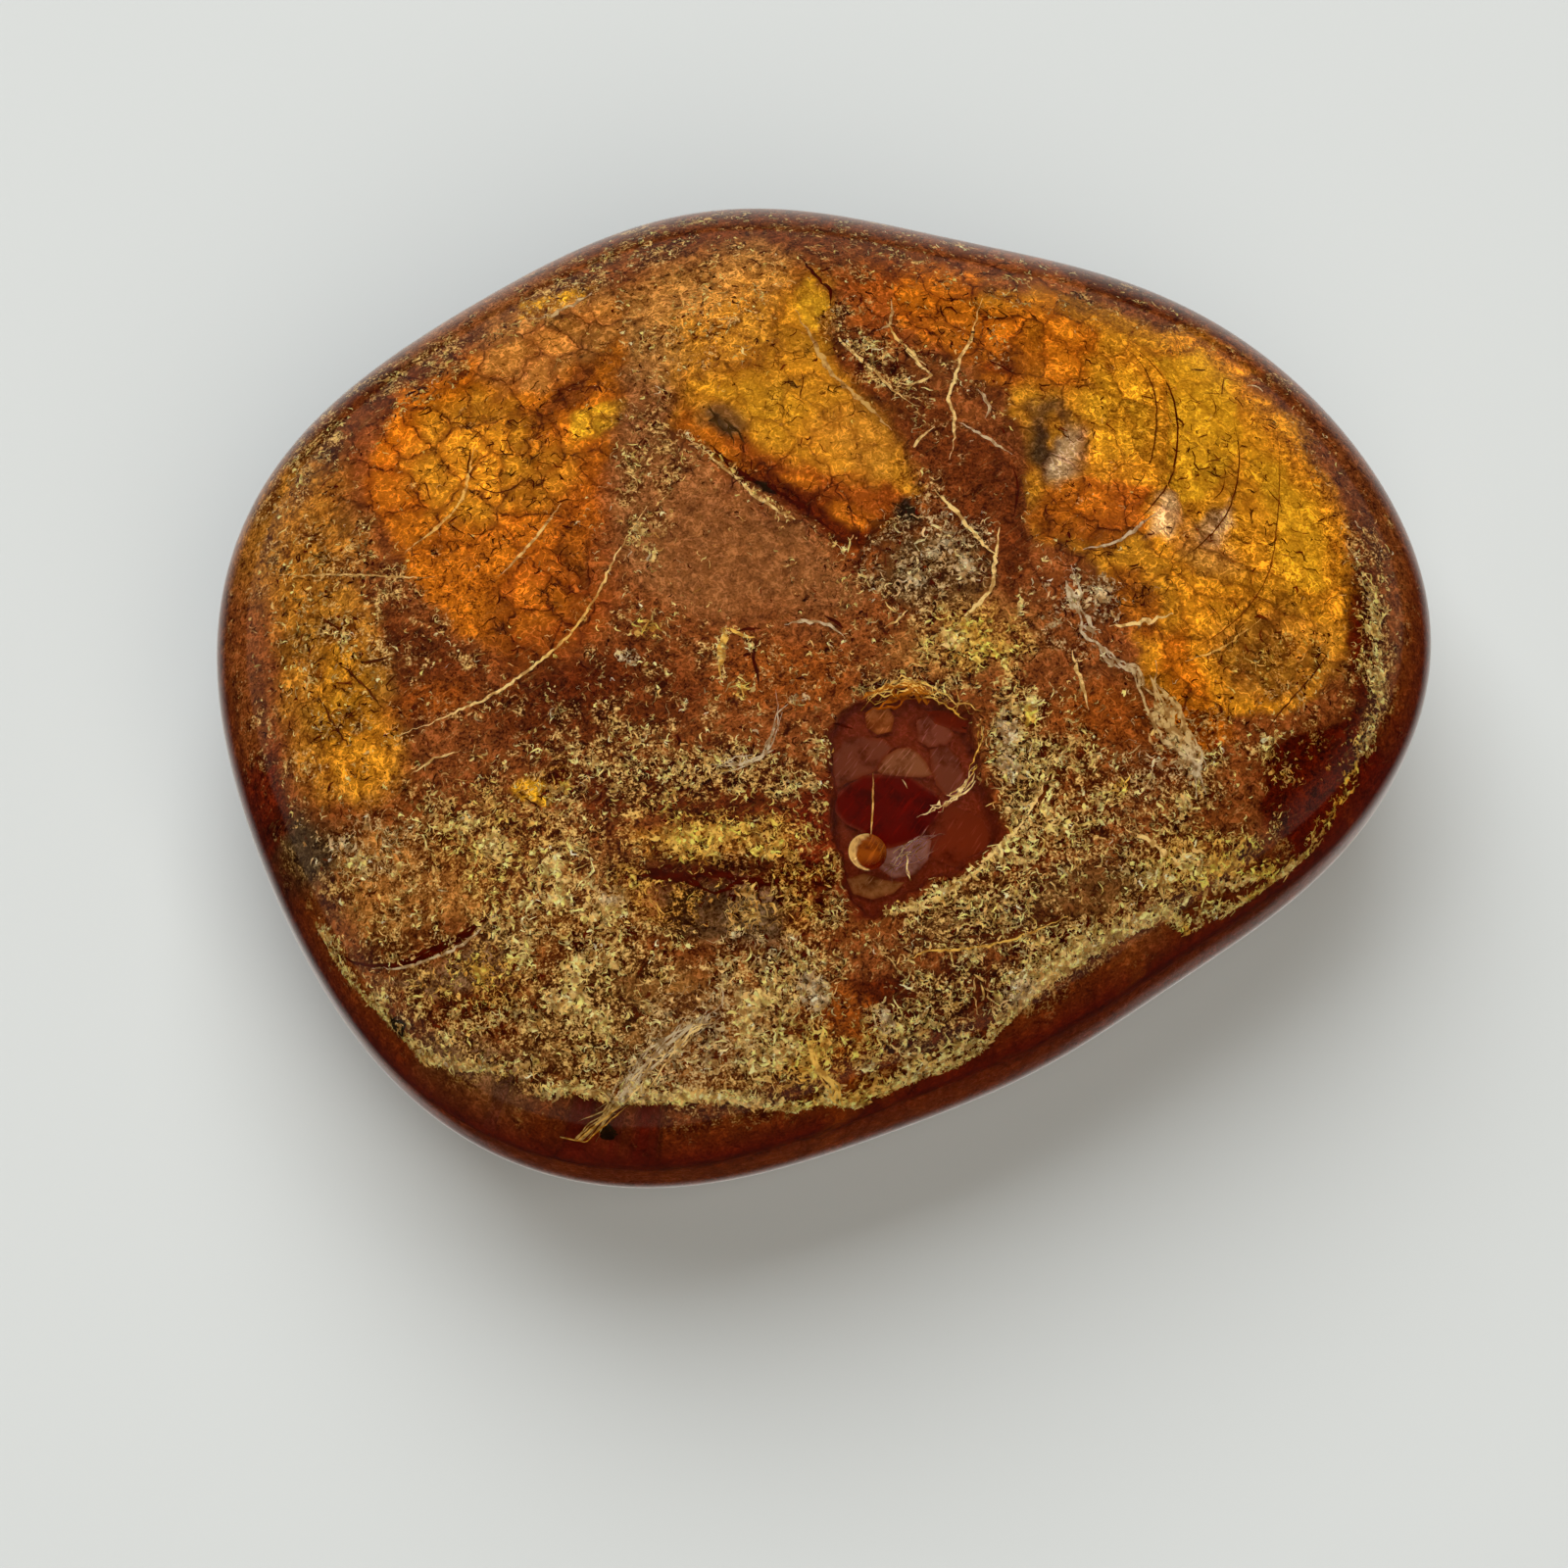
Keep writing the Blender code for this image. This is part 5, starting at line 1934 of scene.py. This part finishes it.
@dataclass
class Flakes:
    """Thousands of tiny curled flakes of pale weathered amber, joined in one mesh."""

    face: Face
    count: int = 20000
    seed: int = 7
    name: str = "pale_flakes"
    tint: Tint = Tint.CREAM
    tints: tuple[Oval, ...] = STRAW_OVALS
    clumps: tuple[Oval, ...] = ()
    lines: tuple[Stroke, ...] = ()
    lift: float = 0.02
    length: float = 0.42
    width: float = 0.075
    spread: float = 0.42
    segments: int = 4

    def build(self) -> bpy.types.Object:
        """Build the flakes as one piece.

        Returns:
            The finished piece.
        """
        face, form = self.face, self.face.form
        draw = np.random.default_rng(self.seed)
        shares, pixels = self.scatter(draw)
        count = len(shares)
        piece = self.copies(count)
        corners = np.zeros(len(piece.data.vertices) * 3)
        piece.data.vertices.foreach_get("co", corners)
        flat = corners.reshape(count, -1, 3)
        along, lane = flat[:, :, 0] % 4 - 2, flat[:, :, 1]
        points = form.crown(shares)
        normals = form.crown_normals(shares)
        depth = face.skin + np.minimum(face.levels(pixels, 0.0, HOLLOW_OVALS), 1.0)
        heading = draw.uniform(0, math.tau, count)
        right = np.cross((0.0, 1.0, 0.0), normals)
        right /= np.linalg.norm(right, axis=1, keepdims=True)
        back = np.cross(normals, right)
        dense = face.levels(pixels, FLECKS_EVERYWHERE, FLECK_OVALS)
        half = self.length / 2 * np.exp(draw.normal(0, self.spread, count)) * (0.6 + 0.4 * dense)
        wide = self.width / 2 * np.exp(draw.normal(0, self.spread, count)) * (0.5 + 0.5 * dense)
        bend = draw.normal(0, 0.8, count)
        kink = draw.normal(0, 0.9, count)
        swing = heading[:, None] + bend[:, None] * along + kink[:, None] * along**2
        step_x = np.cos(swing) * half[:, None] * along
        step_y = np.sin(swing) * half[:, None] * along
        ragged = np.exp(draw.normal(0, 0.3, along.shape))
        girth = wide[:, None] * lane * (1 - 0.7 * along**2) * ragged
        step_x = step_x - np.sin(swing) * girth
        step_y = step_y + np.cos(swing) * girth
        lift = draw.uniform(0.02, 0.12, count)[:, None] * (1 - along**2) + draw.normal(0, 0.03, count)[:, None] * lane
        rise = lift + self.lift - depth[:, None]
        placed = (
            points[:, None, :]
            + right[:, None, :] * step_x[:, :, None]
            + back[:, None, :] * step_y[:, :, None]
            + normals[:, None, :] * rise[:, :, None]
        )
        piece.data.vertices.foreach_set("co", (placed * MM).ravel())
        piece.data.update()
        seen = face.tints(pixels, self.tint, self.tints + self.clumps) * np.exp(draw.normal(0.05, 0.35, count))[:, None]
        seen = seen * (1 - draw.uniform(0, 1, count)[:, None] * (0.0, 0.14, 0.35))
        colour = face.own_colour(seen, np.full(count, face.skin))
        paint(piece, "tint", np.repeat(colour, flat.shape[1], axis=0))
        piece.data.materials.append(PaleFinish().make())
        return piece

    def scatter(self, draw: np.random.Generator) -> tuple[np.ndarray, np.ndarray]:
        """Choose places, more of them where the crust is dense.

        Args:
            draw: The random numbers.

        Returns:
            Places on the crown, and the pixels where they show.
        """
        if self.clumps:
            return self.gather(draw)
        tries = self.count * 4
        reach = np.sqrt(draw.uniform(0, 1, tries)) * 0.93
        angle = draw.uniform(0, math.tau, tries)
        shares = np.column_stack([reach * np.cos(angle), reach * np.sin(angle)])
        pixels = self.face.seen(shares)
        clump = drift(self.face.form.crown(shares), 1.2, 3, 31.0)
        density = self.face.levels(pixels, FLECKS_EVERYWHERE, FLECK_OVALS) ** 1.6
        keep = draw.uniform(0, 1, tries) < density * (0.5 + 1.6 * clump)
        return shares[keep][: self.count], pixels[keep][: self.count]

    def gather(self, draw: np.random.Generator) -> tuple[np.ndarray, np.ndarray]:
        """Choose places in the clumps.

        Args:
            draw: The random numbers.

        Returns:
            Places on the crown, and the pixels where they show.
        """
        pixels = []
        crumbs = [
            Oval(line.tint, x, y, line.width * draw.uniform(0.5, 1.5), line.width * 0.7)
            for line in self.lines
            for x, y in line.path(9.0)
        ]
        total = sum(clump.wide * clump.high for clump in (*self.clumps, *crumbs))
        for clump in (*self.clumps, *crumbs):
            number = round(self.count * clump.wide * clump.high / total)
            spot = draw.normal(0, 0.5, (number, 2)) * (clump.wide, clump.high)
            angle = math.radians(clump.turn)
            turned = spot @ np.array([[math.cos(angle), -math.sin(angle)], [math.sin(angle), math.cos(angle)]])
            pixels.append(turned + (clump.x, clump.y))
        shown = np.vstack(pixels)
        return self.face.view.shares(shown, self.face.form), shown

    def copies(self, count: int) -> bpy.types.Object:
        """Make a row of flat strips, all in one mesh.

        Args:
            count: How many.

        Returns:
            The piece, whose strips are 4 apart.
        """
        shape = bmesh.new()
        bmesh.ops.create_grid(shape, x_segments=self.segments, y_segments=1, size=1.0)
        bmesh.ops.translate(shape, verts=shape.verts, vec=(2, 0, 0))
        piece = finished(self.name, shape)
        row = piece.modifiers.new("row", "ARRAY")
        row.count = count
        row.use_relative_offset = False
        row.use_constant_offset = True
        row.constant_offset_displace = (4, 0, 0)
        row.use_merge_vertices = False
        ready = piece.evaluated_get(bpy.context.evaluated_depsgraph_get())
        mesh = bpy.data.meshes.new_from_object(ready)
        piece.modifiers.clear()
        piece.data = mesh
        mesh.shade_smooth()
        return piece


@dataclass(frozen=True)
class Studio:
    """A plain pale floor in soft light that is bright all round and dim overhead."""

    floor_side: float = 3.0
    floor_gap: float = 0.0002
    floor_colour: tuple[float, float, float, float] = (0.352, 0.362, 0.358, 1)
    surround: float = 0.25
    dim: float = 0.02
    below: float = 0.6

    def build(self) -> None:
        """Make the floor and the lights."""
        self.floor()
        self.world()
        self.softbox("key", (-0.25, 0.75, 1.15), 1.4, 40.0, (0.96, 0.98, 1.0))
        self.softbox("fill", (0.4, -1.3, 1.7), 2.0, 57.0, (1.0, 0.95, 0.86))
        scene = bpy.context.scene
        scene.view_settings.view_transform = "Standard"
        scene.view_settings.look = "None"

    def floor(self) -> None:
        """Make the floor."""
        shape = bmesh.new()
        bmesh.ops.create_grid(shape, x_segments=1, y_segments=1, size=self.floor_side / 2)
        bmesh.ops.translate(shape, verts=shape.verts, vec=(0, 0, -self.floor_gap))
        floor = finished("floor", shape)
        sheet = NodeSheet("pale paper")
        shader = sheet.node("BsdfPrincipled")
        shader.inputs["Base Color"].default_value = self.floor_colour
        shader.inputs["Roughness"].default_value = 0.9
        shader.inputs["Specular IOR Level"].default_value = 0.1
        sheet.feed(sheet.output.inputs["Surface"], shader.outputs[0])
        floor.data.materials.append(sheet.material)
        floor.visible_glossy = False

    def world(self) -> None:
        """Make the surroundings: pale along the horizon and low at the back, dim elsewhere."""
        world = bpy.data.worlds.new("studio")
        world.use_nodes = True
        bpy.context.scene.world = world
        nodes, links = world.node_tree.nodes, world.node_tree.links
        place = nodes.new("ShaderNodeTexCoord").outputs["Generated"]
        split = nodes.new("ShaderNodeSeparateXYZ")
        links.new(place, split.inputs[0])
        towards = nodes.new("ShaderNodeVectorMath")
        towards.operation = "DOT_PRODUCT"
        towards.inputs[1].default_value = (0, 0.6, -0.8)
        links.new(place, towards.inputs[0])
        ramps = []
        for source, low, high, start, end in (
            (split.outputs["Z"], 0.1, 0.45, self.surround, self.dim),
            (split.outputs["Z"], -0.06, 0.0, self.dim, self.surround),
            (towards.outputs["Value"], 0.6, 0.95, 0.0, self.below),
        ):
            ramp = nodes.new("ShaderNodeMapRange")
            ramp.interpolation_type = "SMOOTHSTEP"
            for name, value in (("From Min", low), ("From Max", high), ("To Min", start), ("To Max", end)):
                ramp.inputs[name].default_value = value
            links.new(source, ramp.inputs["Value"])
            ramps.append(ramp.outputs["Result"])
        ring, both = nodes.new("ShaderNodeMath"), nodes.new("ShaderNodeMath")
        ring.operation, both.operation = "MINIMUM", "MAXIMUM"
        links.new(ramps[0], ring.inputs[0])
        links.new(ramps[1], ring.inputs[1])
        links.new(ring.outputs[0], both.inputs[0])
        links.new(ramps[2], both.inputs[1])
        background = nodes["Background"]
        background.inputs["Color"].default_value = (1.0, 0.95, 0.88, 1)
        links.new(both.outputs[0], background.inputs["Strength"])

    def softbox(
        self,
        name: str,
        place: tuple[float, float, float],
        side: float,
        power: float,
        colour: tuple[float, float, float],
    ) -> None:
        """Hang a square softbox that faces the stone.

        Args:
            name: Its name.
            place: Where it hangs, in metres.
            side: How wide it is, in metres.
            power: Its power, in watts.
            colour: The colour of its light.
        """
        data = bpy.data.lights.new(name, "AREA")
        data.size = side
        data.energy = power
        data.color = colour
        lamp = bpy.data.objects.new(name, data)
        lamp.visible_glossy = False
        lamp.location = place
        lamp.rotation_euler = (-Vector(place)).to_track_quat("-Z", "Y").to_euler()
        bpy.context.scene.collection.objects.link(lamp)


def report(piece: bpy.types.Object) -> None:
    """Ride a piece on the stone's body and say how large it is.

    Args:
        piece: The finished piece.
    """
    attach(piece, BODY)
    log.info("%s: %d faces", piece.name, len(piece.data.polygons))


def main() -> None:
    """Build the stone's pieces, the studio and the camera."""
    logging.basicConfig(level=logging.INFO)
    form = StoneForm()
    view = PhotoView()
    amber = Amber()
    face = Face(form, view, amber, skin=0.35)
    view.make(form)
    stone = AmberBody(form)
    body = stone.build()
    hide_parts(NODE)
    report(body)
    report(WeatheredLayer(face).build())
    report(Marks(face, "pale_veins", PALE_STROKES, seed=3).build())
    report(Marks(face, "dark_cracks", DARK_STROKES, seed=4).build())
    report(WindowPlanes(face).build())
    report(Bubble(face, stone).build())
    report(Flakes(face).build())
    # Painted shadows: dark flakes scattered among the pale ones.
    report(Flakes(face, 12000, 8, "flake_shadows", Tint.RED_BLACK, FLAKE_SHADOW_TINTS, lift=-0.01).build())
    report(Flakes(face, 8000, 11, "flake_clumps", clumps=CLUMPS, lines=CRUMB_LINES, width=0.11, lift=0.05).build())
    report(Flakes(face, 1500, 12, "dark_chips", Tint.DEEP_BROWN, (), CHIPS, length=0.9, width=0.06).build())
    Studio().build()


if __name__ == "__main__":
    main()
